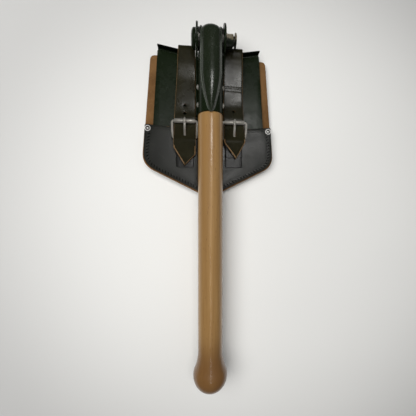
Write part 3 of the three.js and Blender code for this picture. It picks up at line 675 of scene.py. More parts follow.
# ---------------------------------------------------------------- wooden handle
def wood_profile():
    """Half outline of the wood: ball, hollow neck, straight shaft with a round end, tenon."""
    ball_y = corners_mm("wood_handle")[0][1] + BALL_RADIUS
    reach = NECK_Y - ball_y
    rise = BALL_RADIUS**2 - WOOD_RADIUS**2
    neck = (reach**2 - rise) / (2 * (BALL_RADIUS - WOOD_RADIUS))
    meet = math.atan2(reach, WOOD_RADIUS + neck)
    profile = []
    for i in range(49):
        angle = -math.pi / 2 + (meet + math.pi / 2) * i / 48
        profile.append((max(BALL_RADIUS * math.cos(angle), 0), ball_y + BALL_RADIUS * math.sin(angle)))
    for i in range(1, 17):
        angle = meet * (1 - i / 16)
        profile.append((WOOD_RADIUS + neck * (1 - math.cos(angle)), NECK_Y - neck * math.sin(angle)))
    top = FERRULE_FROM_Y - GAP
    rounding, inward = 3.2, 2.0
    for i in range(1, 40):
        profile.append((WOOD_RADIUS, NECK_Y + (top - rounding - NECK_Y) * i / 39))
    for i in range(1, 7):
        angle = math.pi / 2 * i / 6
        radius = WOOD_RADIUS - inward * (1 - math.cos(angle))
        profile.append((radius, top - rounding + rounding * math.sin(angle)))
    tenon = FERRULE_BORE - GAP
    tenon_end = corners_mm("wood_handle")[1][1]
    return profile + [(tenon, top), (tenon, tenon_end), (0, tenon_end)]


def make_wood(looks):
    lathe("wood_handle_turned", "wood_handle", wood_profile(), along_y(0, AXIS_Z), looks["wood"],
          "handle", "wood", sides=96)


def make_ferrule(looks):
    """Tube with rounded rims, and two cross rivets with domed heads on both sides."""
    rim = 0.5
    profile = [
        (FERRULE_BORE, FERRULE_FROM_Y), (FERRULE_RADIUS - rim, FERRULE_FROM_Y),
        (FERRULE_RADIUS - rim * 0.3, FERRULE_FROM_Y + rim * 0.3), (FERRULE_RADIUS, FERRULE_FROM_Y + rim),
        (FERRULE_RADIUS, FERRULE_FROM_Y + 30), (FERRULE_RADIUS, FERRULE_TO_Y - 30),
        (FERRULE_RADIUS, FERRULE_TO_Y - rim), (FERRULE_RADIUS - rim, FERRULE_TO_Y),
        (FERRULE_BORE, FERRULE_TO_Y),
    ]
    axis = along_y(0, AXIS_Z)
    lathe("ferrule_tube", "ferrule", profile, axis, looks["paint"], "handle", sides=96, around=True)
    seat = FERRULE_RADIUS + 0.1
    half = [(2.2, seat), (3.3, seat), (3.2, seat + 0.5), (2.7, seat + 1.2), (1.8, seat + 1.8),
            (0.9, seat + 2.1), (0, seat + 2.2)]
    profile = [(r, -h) for r, h in reversed(half)] + half
    for node in ("ferrule_rivet_1", "ferrule_rivet_2"):
        axis = along_x(middle_mm(node)[1], AXIS_Z)
        lathe(node + "_domed", node, profile, axis, looks["nickel"], "handle", "nickel_steel", sides=32)


# ---------------------------------------------------------------- pick
def pick_section(y):
    """One ring of the pick at y, measured from the pivot: over the outside, back inside."""
    past = max(-y - PICK_TAPER_FROM, 0) / (PICK_LENGTH - PICK_TAPER_FROM)
    half = PICK_HALF - (PICK_HALF - PICK_TIP_HALF) * past**PICK_BULGE
    drop = 1 - PICK_DROP * past**PICK_BULGE
    arch = PICK_HALF
    if y > 0:
        half = arch = PICK_HALF * math.sqrt(max(1 - (y / PICK_DOME) ** 2, 0.0002))
    half *= 0.55 + 0.45 * ease((PICK_LENGTH + y) / 3.0)
    cover = FERRULE_RADIUS + 0.35
    over_ferrule = y < FERRULE_TO_Y + 1 - PIVOT_Y

    def floor_at(x):
        return max(math.sqrt(max(cover**2 - x * x, 0)), 4) if over_ferrule else PICK_BASE_Z - 6

    def top_at(angle, radius, square):
        rise = math.sin(angle) ** square
        return PICK_BASE_Z + (PICK_ARCH_Z + radius * rise - PICK_BASE_Z) * drop

    outer = [Vector((half, 0, floor_at(half)))]
    for i in range(PICK_STEPS + 1):
        angle = math.pi * i / PICK_STEPS
        x = half * math.cos(angle)
        z = top_at(angle, arch, 0.8)
        rib = bell(abs(x) / half - 0.93, 0.05) - 0.8 * bell(abs(x) / half - 0.82, 0.04)
        z += 0.55 * rib * min(half / 8, 1)
        outer.append(Vector((x, 0, max(z, floor_at(half) + 0.2))))
    outer.append(Vector((-half, 0, floor_at(half))))
    hollow = PICK_HALF - PICK_WALL
    inner_half = max(half - PICK_WALL, 0.2)
    inner_arch = hollow
    if y > 0:
        inner_half = inner_arch = hollow * math.sqrt(max(1 - (y / (PICK_DOME - PICK_WALL)) ** 2, 0.0002))
    closed = ease((-y - (PICK_LENGTH - 22)) / 8)
    inner = [Vector((-inner_half, 0, floor_at(inner_half)))]
    for i in range(PICK_STEPS + 1):
        angle = math.pi * (1 - i / PICK_STEPS)
        x = inner_half * math.cos(angle)
        roof = top_at(angle, inner_arch, 1.0)
        base = floor_at(abs(x))
        inner.append(Vector((x, 0, max(roof + (base - roof) * closed, base))))
    inner.append(Vector((inner_half, 0, floor_at(inner_half))))
    return [Vector((p.x, PIVOT_Y + y, AXIS_Z + p.z)) for p in outer + inner]


def pick_look_of(i, j):
    """The outer sides of the arch show thinner, worn paint on their ribs, made lighter as a painted
    highlight along them.
    """
    rib = PICK_STEPS * 0.17
    on_right = 1 <= j <= rib + 1
    on_left = PICK_STEPS - rib + 1 <= j <= PICK_STEPS + 1
    return 1 if on_right or on_left else 0


def make_pick(looks):
    """Arched shell over the ferrule, closed at its point, with a round ear on each side."""
    step_y = FERRULE_TO_Y + 1 - PIVOT_Y
    stations = [-PICK_LENGTH, -PICK_LENGTH + 0.6, -PICK_LENGTH + 1.4]
    stations += [-PICK_LENGTH + 2.4 + 2.4 * i for i in range(1, 34)]
    stations = [y for y in stations if y < step_y - 1]
    stations += [step_y - 0.05, step_y + 0.05, -12, -8, -4, 0]
    stations += [PICK_DOME * math.sin(math.radians(a)) for a in range(8, 90, 8)]
    stations.append(PICK_DOME * 0.999)
    build = Build()
    build.loft([pick_section(y) for y in sorted(stations)], look_of=pick_look_of)
    for side in (-1, 1):
        turn = [Vector((EAR_RADIUS * math.cos(a), EAR_RADIUS * math.sin(a)))
                for a in (2 * math.pi * i / 72 for i in range(72))]
        line = [Vector((PIVOT_Y + p.x, AXIS_Z + p.y)) for p in turn]
        low, high = sorted((side * (PICK_HALF - PICK_WALL), side * (PICK_HALF + 0.05)))
        build.prism(line, low, high, side_view, 0.5)
    faces = [looks["pick_paint"], looks["worn_paint_and_highlight"]]
    build.finish("pick_formed", ["pick"], faces, "pick", "green_paint", sharp=32)


# ---------------------------------------------------------------- bracket and lock
def make_bracket(looks):
    """Two cheeks with round eyes, which slope down to the base plate."""
    low_z = corners_mm("hinge_bracket")[0][2]
    bottom = low_z - AXIS_Z
    arc = []
    for i in range(41):
        angle = -0.9 + (math.pi * 0.95 + 0.9) * i / 40
        arc.append((HINGE_RADIUS * math.cos(angle), HINGE_RADIUS * math.sin(angle)))
    corners = [(-BRACKET_REACH, bottom, 1), (-20, bottom, 6), *arc, (-34, -12, 8), (-60, -20.5, 12),
               (-BRACKET_REACH, bottom + 4, 1.5)]
    line = spaced(rounded(corners), 1.4, closed=True)
    line = [Vector((PIVOT_Y + p.x, AXIS_Z + p.y)) for p in line]
    build = Build()
    for side in (-1, 1):
        low, high = sorted((side * CHEEK_INNER, side * CHEEK_OUTER))
        build.prism(line, low, high, side_view, 0.6)
    from_y, to_y = PIVOT_Y - BRACKET_REACH, PIVOT_Y - BRACKET_BASE_FROM
    base = [(-CHEEK_OUTER, from_y, 1), (CHEEK_OUTER, from_y, 1), (CHEEK_OUTER, to_y, 1),
            (-CHEEK_OUTER, to_y, 1)]
    build.prism(rounded(base), low_z, low_z + BRACKET_SHEET, plan, 0.4)
    piece = build.finish("hinge_bracket_bent", ["hinge_bracket"], [looks["paint"]])
    bore = Build()
    past_cheek = 26
    bore.rod(BOLT_BORE, -past_cheek, past_cheek, along_x(PIVOT_Y, AXIS_Z), 48)
    carve(piece, bore)


def make_lock(looks):
    """Barrel and button on the right cheek, domed spring housing on the left one."""
    axis = along_x(PIVOT_Y, AXIS_Z)
    face = CHEEK_OUTER + 0.15
    profile = [(BOLT_BORE, face), (9.7, face), (10, face + 0.3), (10, face + 1.2), (9.6, face + 1.6),
               (8.8, face + 2.0), (8.5, face + 2.6), (8.5, 27.2), (8.35, 27.5), (8.5, 27.8),
               (8.5, 28.9), (8.1, 29.4), (BOLT_BORE, 29.4)]
    lathe("guide_sleeve_turned", "guide_sleeve", profile, axis, looks["warm"], ROOT, "worn_steel",
          sides=72, around=True)

    profile = [(6.2, 31.8), (9.6, 31.8), (10.1, 32.2), (10.2, 32.6), (10.0, 33.1), (9.2, 33.5),
               (7.6, 33.75), (7.0, 33.55), (0, 33.3), (0, 31.6), (6.2, 31.6)]
    lathe("push_button_turned", "push_button", profile, axis, looks["warm"], "lock", "worn_steel",
          sides=72, around=True)

    start = -face
    profile = [(11.4, start), (12.9, start), (13.1, start - 0.3), (13.1, start - 2.4),
               (12.8, start - 3.4), (12.0, start - 4.2), (10.8, start - 4.9), (8.8, start - 5.5),
               (6.6, start - 5.8), (5.0, start - 5.9), (4.2, start - 5.85), (3.6, start - 5.7),
               (0, start - 5.7), (0, start - 5.2), (7.4, start - 4.9), (10.4, start - 3.7),
               (11.4, start - 1.5)]
    lathe("spring_housing_pressed", "spring_housing", profile, axis, looks["paint"], sides=80, around=True)
    make_spring(looks)


def make_spring(looks):
    """The cone of wire behind the lock, made in one fixed shape; the real one flattens in the housing as
    the button is pushed.
    """
    turns, steps = 2, 48
    wide, taper = 8.7, 1.9
    from_x, depth = -21.35, 2.1
    wire = 0.45
    coil = []
    for i in range(steps + 1):
        part = i / steps
        angle = 2 * math.pi * turns * part
        radius = wide - taper * part
        y = PIVOT_Y + radius * math.cos(angle)
        coil.append(Vector((from_x - depth * part, y, AXIS_Z + radius * math.sin(angle))))
    build = Build()
    build.tube(coil, wire, 8)
    piece = build.finish("lock_spring_coil", ["lock_spring"], [looks["steel"]], slot="bare_steel")
    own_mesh(piece)


# ---------------------------------------------------------------- blade
def shoulder_at(x):
    """Where the blade's slanting shoulder lies in y."""
    return SHOULDER_Y - (SHOULDER_X - abs(x)) * SHOULDER_SLOPE


def dish_at(x):
    """How far the blade's sides are raised above its flat middle."""
    return DISH_DEPTH * (max(abs(x) - DISH_FROM_X, 0) / DISH_REACH) ** 2


def sheet_piece(line, top_at, thickness, step, rim=(0.35, 0.9)):
    """A panel: the closed line filled with a grid and raised to top_at(x, y, distance to rim)."""
    made = bmesh.new()
    inner = made.faces.new([made.verts.new((p.x, p.y, 0)) for p in line])
    for reach in rim:
        bmesh.ops.inset_region(made, faces=[inner], thickness=reach, use_even_offset=True)
    low_x, high_x = min(p.x for p in line), max(p.x for p in line)
    low_y, high_y = min(p.y for p in line), max(p.y for p in line)
    for axis, low, high in ((0, low_x, high_x), (1, low_y, high_y)):
        count = int((high - low) / step)
        for i in range(1, count):
            at = [0, 0, 0]
            at[axis] = low + (high - low) * i / count
            normal = [0, 0, 0]
            normal[axis] = 1
            geometry = made.verts[:] + made.edges[:] + made.faces[:]
            bmesh.ops.bisect_plane(made, geom=geometry, plane_co=at, plane_no=normal, dist=0.15)
    measure = distance_to(line)
    made.verts.ensure_lookup_table()
    made.verts.index_update()
    tops = [(v.co.x, v.co.y, measure(v.co.x, v.co.y)) for v in made.verts]
    count = len(tops)
    points = [Vector((x, y, top_at(x, y, d))) for x, y, d in tops]
    points += [Vector((x, y, top_at(x, y, max(d, 2)) - thickness)) for x, y, d in tops]
    faces = []
    looks = []
    for face in made.faces:
        ring = [v.index for v in face.verts]
        deepest = max(tops[i][2] for i in ring)
        faces.append(ring)
        looks.append(1 if deepest < rim[0] + 0.1 else 0)
        faces.append([count + i for i in reversed(ring)])
        looks.append(2)
    for edge in made.edges:
        if len(edge.link_faces) == 1:
            a, b = (v.index for v in edge.verts)
            faces.append([a, b, count + b, count + a])
            looks.append(1)
    made.free()
    build = Build()
    build.add(points, faces, looks)
    return build


def mirrored(half):
    """The full line: its right half, then the mirror image of that from its end."""
    return half + [(-c[0], *c[1:]) for c in reversed(half)]


def make_blade(looks):
    """Dished sheet, with a rounded, turned-up lip on each shoulder."""
    lip_from, lip_to = 22.0, SHOULDER_X - 0.6
    fold = 3.6
    half = [
        (15.4, PIVOT_Y - 28, 5), (15.4, shoulder_at(15.4) - fold), (lip_to, shoulder_at(lip_to) - fold),
        (SHOULDER_X + 0.1, SHOULDER_Y - fold), (BLADE_LOWER_X, 64, 24), (3, 26, 3),
    ]
    line = spaced(rounded(mirrored(half)), 3.0, closed=True)

    def top_at(x, y, d):
        return BLADE_LOW + BLADE_SHEET + dish_at(x) - 0.35 * bell(d, 0.4)

    build = sheet_piece(line, top_at, BLADE_SHEET, 6.0)
    build.looks = [0] * len(build.looks)
    for side in (-1, 1):
        rings = []
        for i in range(25):
            x = side * (lip_from + (lip_to - lip_from) * i / 24)
            y = shoulder_at(x)
            z = BLADE_LOW + dish_at(x)
            ring = [Vector((x, y - fold - 0.4, z)), Vector((x, y - fold, z))]
            for k in range(1, 9):
                a = math.pi / 2 * k / 8
                ring.append(Vector((x, y - fold + fold * math.sin(a), z + fold * (1 - math.cos(a)))))
            ring += [Vector((x, y, LIP_TOP - 0.5)), Vector((x, y - 0.3, LIP_TOP - 0.1)),
                     Vector((x, y - 1, LIP_TOP)), Vector((x, y - 1.7, LIP_TOP - 0.1)),
                     Vector((x, y - 2, LIP_TOP - 0.5))]
            inner = fold - BLADE_SHEET
            for k in range(8, -1, -1):
                a = math.pi / 2 * k / 8
                ring.append(Vector((x, y - fold + inner * math.sin(a),
                                    z + BLADE_SHEET + inner * (1 - math.cos(a)))))
            ring.append(Vector((x, y - fold - 0.4, z + BLADE_SHEET)))
            rings.append(ring)
        build.loft(rings)
    build.finish("blade_pressed", ["blade"], [looks["blade"]])


# ---------------------------------------------------------------- carrier
def carrier_side(y):
    """Half the carrier's width at y."""
    part = (CARRIER_TOP_Y - y) / (CARRIER_TOP_Y - CARRIER_WIDEST_Y)
    return CARRIER_TOP_HALF + (CARRIER_HALF - CARRIER_TOP_HALF) * part


def foot(inset):
    """The corner and the point of the carrier's right foot, moved inwards."""
    return [(CARRIER_HALF - inset, CARRIER_WIDEST_Y + inset * 0.4, 17), (4, CARRIER_TIP_Y + inset * 1.1, 4)]


def pocket_edge(x):
    return POCKET_EDGE_Y - POCKET_DIP * (1 - (x / carrier_side(POCKET_EDGE_Y)) ** 2)


def uneven(x, y, seed, size=40.0):
    return noise.noise(Vector((x / size, y / size, seed)))


def make_back_panel(looks):
    """Flat panel with the flesh side up, wavy where nothing holds its upper corners."""
    half = [(22, PIVOT_Y - 29, 8), (24, CARRIER_TOP_Y, 4), (CARRIER_TOP_HALF, CARRIER_TOP_Y, 6), *foot(0)]
    line = spaced(rounded(mirrored(half), 8), 3.0, closed=True)

    def top_at(x, y, d):
        free = ease((y - 120) / 60) * ease((abs(x) - 55) / 30)
        wave = 0.25 * uneven(x, y, 3.0) * free
        return BACK_HIGH - 0.3 * bell(d, 0.6) - 0.1 + wave

    build = sheet_piece(line, top_at, BACK_HIGH - BACK_LOW, 5.0, rim=(0.4, 1.0))
    faces = [looks["flesh"], looks["cut"], looks["back"]]
    build.finish("back_panel_leather", ["back_panel"], faces, slot="flesh_leather")


def pocket_line():
    """The front's outline, a little inside the welt so that its cut edge shows round the foot."""
    side = carrier_side(POCKET_EDGE_Y) - 0.5
    steps = 12
    top = [(side * (1 - i / steps), pocket_edge(side * (1 - i / steps))) for i in range(1, steps)]
    corner = (side, pocket_edge(side), 2)
    half = top[::-1] + [corner] + foot(2.1)
    return spaced(rounded(mirrored(half), 8), 2.6, closed=True)


def make_pocket(looks):
    """Front panel: seam groove, dents round the rivets, slow waves, a press mark by each strap."""
    line = pocket_line()
    rivets = [middle_mm(n) for n in ("pocket_rivet_1", "pocket_rivet_2")]

    def top_at(x, y, d):
        groove = 0.18 * bell(d + 1 - SEAM_INSET, 1.6) * (1 if y < pocket_edge(x) - 9 else 0.0)
        rim = 0.55 * bell(d, 0.55)
        free = ease((d - SEAM_INSET) / 14)
        wave = 0.22 * uneven(x, y, 7.0, 26) * free
        dent = sum(0.5 * bell(math.hypot(x - r[0], y - r[1]), 5.5) for r in rivets)
        press = 0.25 * bell(abs(abs(x) - STRAP_X), 20) * free
        return POCKET_HIGH - groove - rim + wave - dent - press

    build = sheet_piece(line, top_at, POCKET_HIGH - POCKET_LOW, 2.6, rim=(0.4, 0.9))
    faces = [looks["pocket"], looks["cut"], looks["flesh"]]
    build.finish("front_pocket_leather", ["front_pocket"], faces, slot="pocket_leather")


def make_welt(looks):
    """The strip between the panels, open at the top where the blade goes in."""
    low, high = corners_mm("welt")[0][2], corners_mm("welt")[1][2]
    top = POCKET_EDGE_Y - 2
    side = carrier_side(POCKET_EDGE_Y)
    outer = rounded(mirrored([(side, top, 1.5), *foot(0.2)]), 8, closed=False)
    inner = rounded(mirrored([(side - WELT_WIDTH, top), *foot(SEAM_INSET)]), 8, closed=False)
    build = Build()
    build.prism(outer + inner[::-1], low, high, plan, 0.35, look=0, edge_look=1)
    build.finish("welt_leather", ["welt"], [looks["flesh"], looks["cut"]], slot="flesh_leather")


def stitch(build, at, along, length, height, slant):
    """One stitch: a short thread that dips into its holes."""
    across = Vector((-along.y, along.x, 0))
    path = []
    for k in range(7):
        t = k / 6 * 2 - 1
        lift = height * (1 - t * t * t * t)
        path.append(at + along * (length / 2 * t) + across * slant * t + Vector((0, 0, lift)))
    build.tube(path, THREAD_RADIUS, 7)


def seam_path():
    """The seam's line round the pocket, from the right corner round the foot to the left."""
    half = [(carrier_side(POCKET_EDGE_Y) - SEAM_INSET, POCKET_EDGE_Y - 7), *foot(SEAM_INSET)]
    return spaced(rounded(mirrored(half), 8, closed=False), STITCH_STEP)


def make_stitching(looks):
    """Slanting stitches on the front and the back of the seam."""
    chance = random.Random(11)
    path = seam_path()
    for name, z, sign in (("seam_front", POCKET_HIGH - 0.45, 1), ("seam_back", BACK_LOW + 0.1, -1)):
        build = Build()
        for a, b in zip(path, path[1:]):
            along = (b - a).to_3d().normalized()
            at = ((a + b) / 2).to_3d() + Vector((0, 0, z))
            slant = -1.5 + chance.uniform(-0.2, 0.2)
            stitch(build, at, along, STITCH_LENGTH, sign * 0.4, slant)
        build.finish(name, [], [looks["thread"]], slot="pocket_leather")


def make_rivets(looks):
    """Ring-headed rivets at the pocket's corners, and domed ones on the back."""
    base = POCKET_HIGH - 0.35
    back = BACK_LOW
    for node in ("pocket_rivet_1", "pocket_rivet_2"):
        x, y, _ = middle_mm(node)
        profile = [(0, back - 1.3), (2.4, back - 1.3), (3.4, back - 1.05), (4, back - 0.4), (4, back),
                   (RIVET_SHANK, back), (RIVET_SHANK, base), (3.9, base), (4.15, base + 0.35),
                   (4.1, base + 0.9), (3.8, base + 1.3), (3.3, base + 1.5), (2.9, base + 1.3),
                   (2.7, base + 0.8), (2.5, base + 0.3), (1.4, base + 0.3), (1.2, base + 0.8),
                   (0.8, base + 1.2), (0, base + 1.3)]
        groove = range(len(profile) - 7, len(profile) - 4)
        lathe(node + "_ring", node, profile, along_z(x, y), [looks["bright"], looks["steel"]], ROOT,
              "nickel_steel", sides=40, look_of=lambda i, j: 1 if i in groove else 0)
    for group in ("strap_rivet", "belt_loop_rivet"):
        for i in range(4):
            node = f"{group}_{i + 1}"
            low, high = (corner[2] for corner in corners_mm(node))
            x, y, _ = middle_mm(node)
            profile = [(0, low), (1.2, low + 0.05), (2.3, low + 0.35), (3.2, low + 0.8),
                       (3.6, low + 1.25), (RIVET_SHANK, low + 1.3), (RIVET_SHANK, high - 1),
                       (3, high - 0.9), (3, high), (0, high)]
            lathe(node + "_domed", node, profile, along_z(x, y), looks["nickel"], ROOT, "nickel_steel",
                  sides=28)


def rivet_holes(cutter, group, side):
    """Adds the holes for those rivets of a group that are on one side of the tool."""
    for i in range(4):
        x, y, _ = middle_mm(f"{group}_{i + 1}")
        if x * SIDES[side] > 0:
            cutter.rod(RIVET_HOLE, -1, 11, along_z(x, y))


# ---------------------------------------------------------------- straps, loops and chapes
def leather_strip(build, line, sides_at, sheet, relief=None, skive_at=None):
    """Leather along a side line of (y, z) points, its grain face on the line's right side.

    sides_at(y) gives the two sides in x, and skive_at(y) is 1 where the edges are cut slanting.
    """
    rim = 0.93
    across = 14
    shape = [(rim - 2 * rim * i / across, 1.0, 0) for i in range(across + 1)]
    shape += [(-0.975, 0.86, 0), (-1, 0.5, 1), (-1, -0.55, 1), (-0.975, -0.9, 1)]
    shape += [(-rim + 2 * rim * i / 6, -1.0, 2) for i in range(7)]
    shape += [(0.975, -0.9, 1), (1, -0.55, 1), (1, 0.5, 1), (0.975, 0.86, 0)]
    rings = []
    reached = 0.0
    count = len(line)
    for i, at in enumerate(line):
        if i:
            reached += (at - line[i - 1]).length
        along = (line[min(i + 1, count - 1)] - line[max(i - 1, 0)]).normalized()
        out = Vector((along.y, -along.x))
        low, high = sides_at(at.x)
        middle, half = (low + high) / 2, (high - low) / 2
        skive = skive_at(at.x, i) if skive_at else 0
        border = min(0.95 + 0.55 * skive, half * 0.6)
        ring = []
        for u, v, look in shape:
            if v > -0.6 and abs(u) > rim:
                v -= 0.75 * skive * (abs(u) - rim) / (1 - rim)
            lift = v * sheet / 2 + (relief(reached, u, v, at) if relief else 0)
            spot = at + out * lift
            if abs(u) <= rim + 1e-6:
                aside = u / rim * (half - border)
            else:
                aside = math.copysign(half - border * (1 - abs(u)) / (1 - rim), u)
            ring.append(Vector((middle + aside, spot.x, spot.y)))
        rings.append(ring)
    looks = [look for _, _, look in shape]
    skived = [skive_at(at.x, i) > 0.3 if skive_at else False for i, at in enumerate(line)]

    def look_of(i, j):
        a, b = looks[j], looks[(j + 1) % len(looks)]
        if (a, b) in ((0, 1), (1, 0)):
            return 1
        on_rim = abs(shape[j][0]) > rim + 0.01 or abs(shape[(j + 1) % len(shape)][0]) > rim + 0.01
        if skived[i] and a == 0 and on_rim:
            return 1
        return a

    build.loft(rings, look=1, look_of=look_of)


def finish_leather(build, node, looks, names=("strap", "cut", "flesh"), slot="strap_leather"):
    """Finishes a strip with its looks for grain side, cut edges and flesh side."""
    faces = [looks[name] for name in names]
    return build.finish(f"{node}_leather", [node], faces, slot=slot, sharp=LEATHER_SHARP)


def strap_sides(side):
    """A function that gives the strap's two sides at y: slim at the top, wide below the buckle."""
    sign = SIDES[side]
    tip = STRAP_TIPS[side]
    top_x, buckle_x = STRAP_OUTER_X[side]
    outer_point, inner_point = STRAP_POINT[side]
    shoulder_y, under_y = 222, ROLLER_Y - 8

    def sides_at(y):
        slim = min(max((shoulder_y - y) / (shoulder_y - ROLLER_Y - 8), 0), 1)
        outer = top_x + (buckle_x - top_x) * slim
        inner = STRAP_INNER_X
        flare = min(max((under_y - y) / (under_y - HEEL_Y), 0), 1)
        outer += (STRAP_X + STRAP_HALF - outer) * flare
        inner += (STRAP_X - STRAP_HALF - inner) * flare
        outer_left = min(max((y - tip) / outer_point, 0.02), 1)
        inner_left = min(max((y - tip) / inner_point, 0.02), 1)
        lean = STRAP_LEAN[side] * ease((HEEL_Y - y) / (HEEL_Y - tip))
        outer = STRAP_X + (outer - STRAP_X) * outer_left + lean
        inner = STRAP_X + (inner - STRAP_X) * inner_left + lean
        return sorted((sign * outer, sign * inner))

    return sides_at


def make_strap(side, looks):
    """From the back over the blade's shoulder, under the roller and over the heel bar."""
    x = SIDES[side] * STRAP_X
    back_z = BACK_LOW - GAP - STRAP_SHEET / 2
    tip = STRAP_TIPS[side]
    bow = STRAP_BOW[side]
    over_shoulder = [
        (196, back_z), (206, back_z), (215, back_z), (219.4, back_z + 0.9), (222.2, 10.2), (222.8, 16),
        (222.8, 22), (221.5, 24.4), (218.6, 25.3), (213.5, 24.6),
    ]
    through_buckle = [
        (135.5, 19.8), (128, 21.6), (ROLLER_Y, 22.3), (113, 24.2), (106, 26.8), (HEEL_Y, 29.1),
        (94, 29.9), (88, 29.4), (80, 28.5 - bow / 2), (tip, 27.0 - bow),
    ]
    line = smooth([*over_shoulder, *STRAP_SAG[side], *through_buckle], 1.2)
    seed = 4.0 if side == "left" else 9.0
    behind = 60

    def relief(reached, u, v, at):
        on_front = reached > behind
        lift = 0.16 * noise.noise(Vector((reached / 14, u * 0.9, seed)))
        if on_front and v > 0:
            for y in STRAP_HOLES[side]:
                lift -= 0.4 * bell(math.hypot(at.x - y, u * 13), 3.0)
        if side == "right" and on_front:
            for y, depth in CREASES:
                lift -= depth * bell(at.x - y + 0.5 * u, 0.9)
        return lift

    def skive_at(y, i):
        return 1.0 if y < tip + SKIVED_TO and i > behind else 0.0

    build = Build()
    leather_strip(build, line, strap_sides(side), STRAP_SHEET, relief, skive_at)
    piece = finish_leather(build, f"strap_{side}", looks)
    cutter = Build()
    for y in STRAP_HOLES[side]:
        cutter.rod(2.3, 14, 27, along_z(x, y), 24)
    wide, low, high = 2.1, 100.2, 112
    slot = [(x - wide, low, 1.6), (x + wide, low, 1.6), (x + wide, high, 1.6), (x - wide, high, 1.6)]
    cutter.prism(rounded(slot), 16, 40, plan, 0.01)
    rivet_holes(cutter, "strap_rivet", side)
    carve(piece, cutter, LEATHER_SHARP)


def make_belt_loop(side, looks):
    """Loop for the waist belt, standing off the back between its riveted ends."""
    node = f"belt_loop_{side}"
    low, high = corners_mm(node)
    x = SIDES[side] * STRAP_X
    half = (high[0] - low[0]) / 2
    tab = BACK_LOW - GAP - LOOP_SHEET / 2
    flat = LOOP_SHEET / 2
    end = [(0, tab), (7, tab), (13.5, tab), (16.5, (tab + flat) / 2), (20.5, flat), (40, flat)]
    middle_y = (low[1] + high[1]) / 2
    corners = [(low[1] + y, z) for y, z in end] + [(middle_y, flat)]
    corners += [(high[1] - y, z) for y, z in reversed(end)]
    line = smooth(corners, 1.6)
    for point in line:
        point.y = max(point.y, flat)

    def relief(reached, u, v, at):
        inward = 0.12 * abs(noise.noise(Vector((reached / 16, u, 13.0 + x))))
        return -inward if v > 0 else inward

    build = Build()
    leather_strip(build, line, lambda y: (x - half, x + half), LOOP_SHEET, relief)
    piece = finish_leather(build, node, looks)
    cutter = Build()
    rivet_holes(cutter, "belt_loop_rivet", side)
    carve(piece, cutter, LEATHER_SHARP)


def make_chape(side, looks):
    """Leather folded round the heel bar and riveted to the pocket, slit for the prong."""
    node = f"chape_{side}"
    low, high = corners_mm(node)
    x = SIDES[side] * STRAP_X
    half = (high[0] - low[0]) / 2
    bed = low[2] + CHAPE_SHEET / 2
    ring = 3.25
    corners = [(low[1] + 0.1, bed), (low[1] + 12, bed), (80, bed), (92, bed)]
    for degrees in range(-80, 100, 20):
        angle = math.radians(degrees)
        corners.append((HEEL_Y + ring * math.cos(angle), HEEL_Z + ring * math.sin(angle)))
    corners += [(94.5, 25.0), (90.5, 22.9), (87, 21.9), (82, 21.5), (73, 21.4)]
    line = smooth(corners, 1.2)

    def sides_at(y):
        wide = half * (0.93 + 0.07 * ease((y - low[1]) / 2.5))
        return x - wide, x + wide

    build = Build()
    leather_strip(build, line, sides_at, CHAPE_SHEET)
    piece = finish_leather(build, node, looks, ("chape", "chape", "chape"), "pocket_leather")
    cutter = Build()
    wide = 2.3
    slit = rounded([(x - wide, 92.5, 1.5), (x + wide, 92.5, 1.5), (x + wide, 110), (x - wide, 110)])
    cutter.prism(slit, 10, 40, plan, 0.01)
    cutter.rod(RIVET_HOLE, 10, 26, along_z(x, CHAPE_RIVET_Y))
    carve(piece, cutter, LEATHER_SHARP)


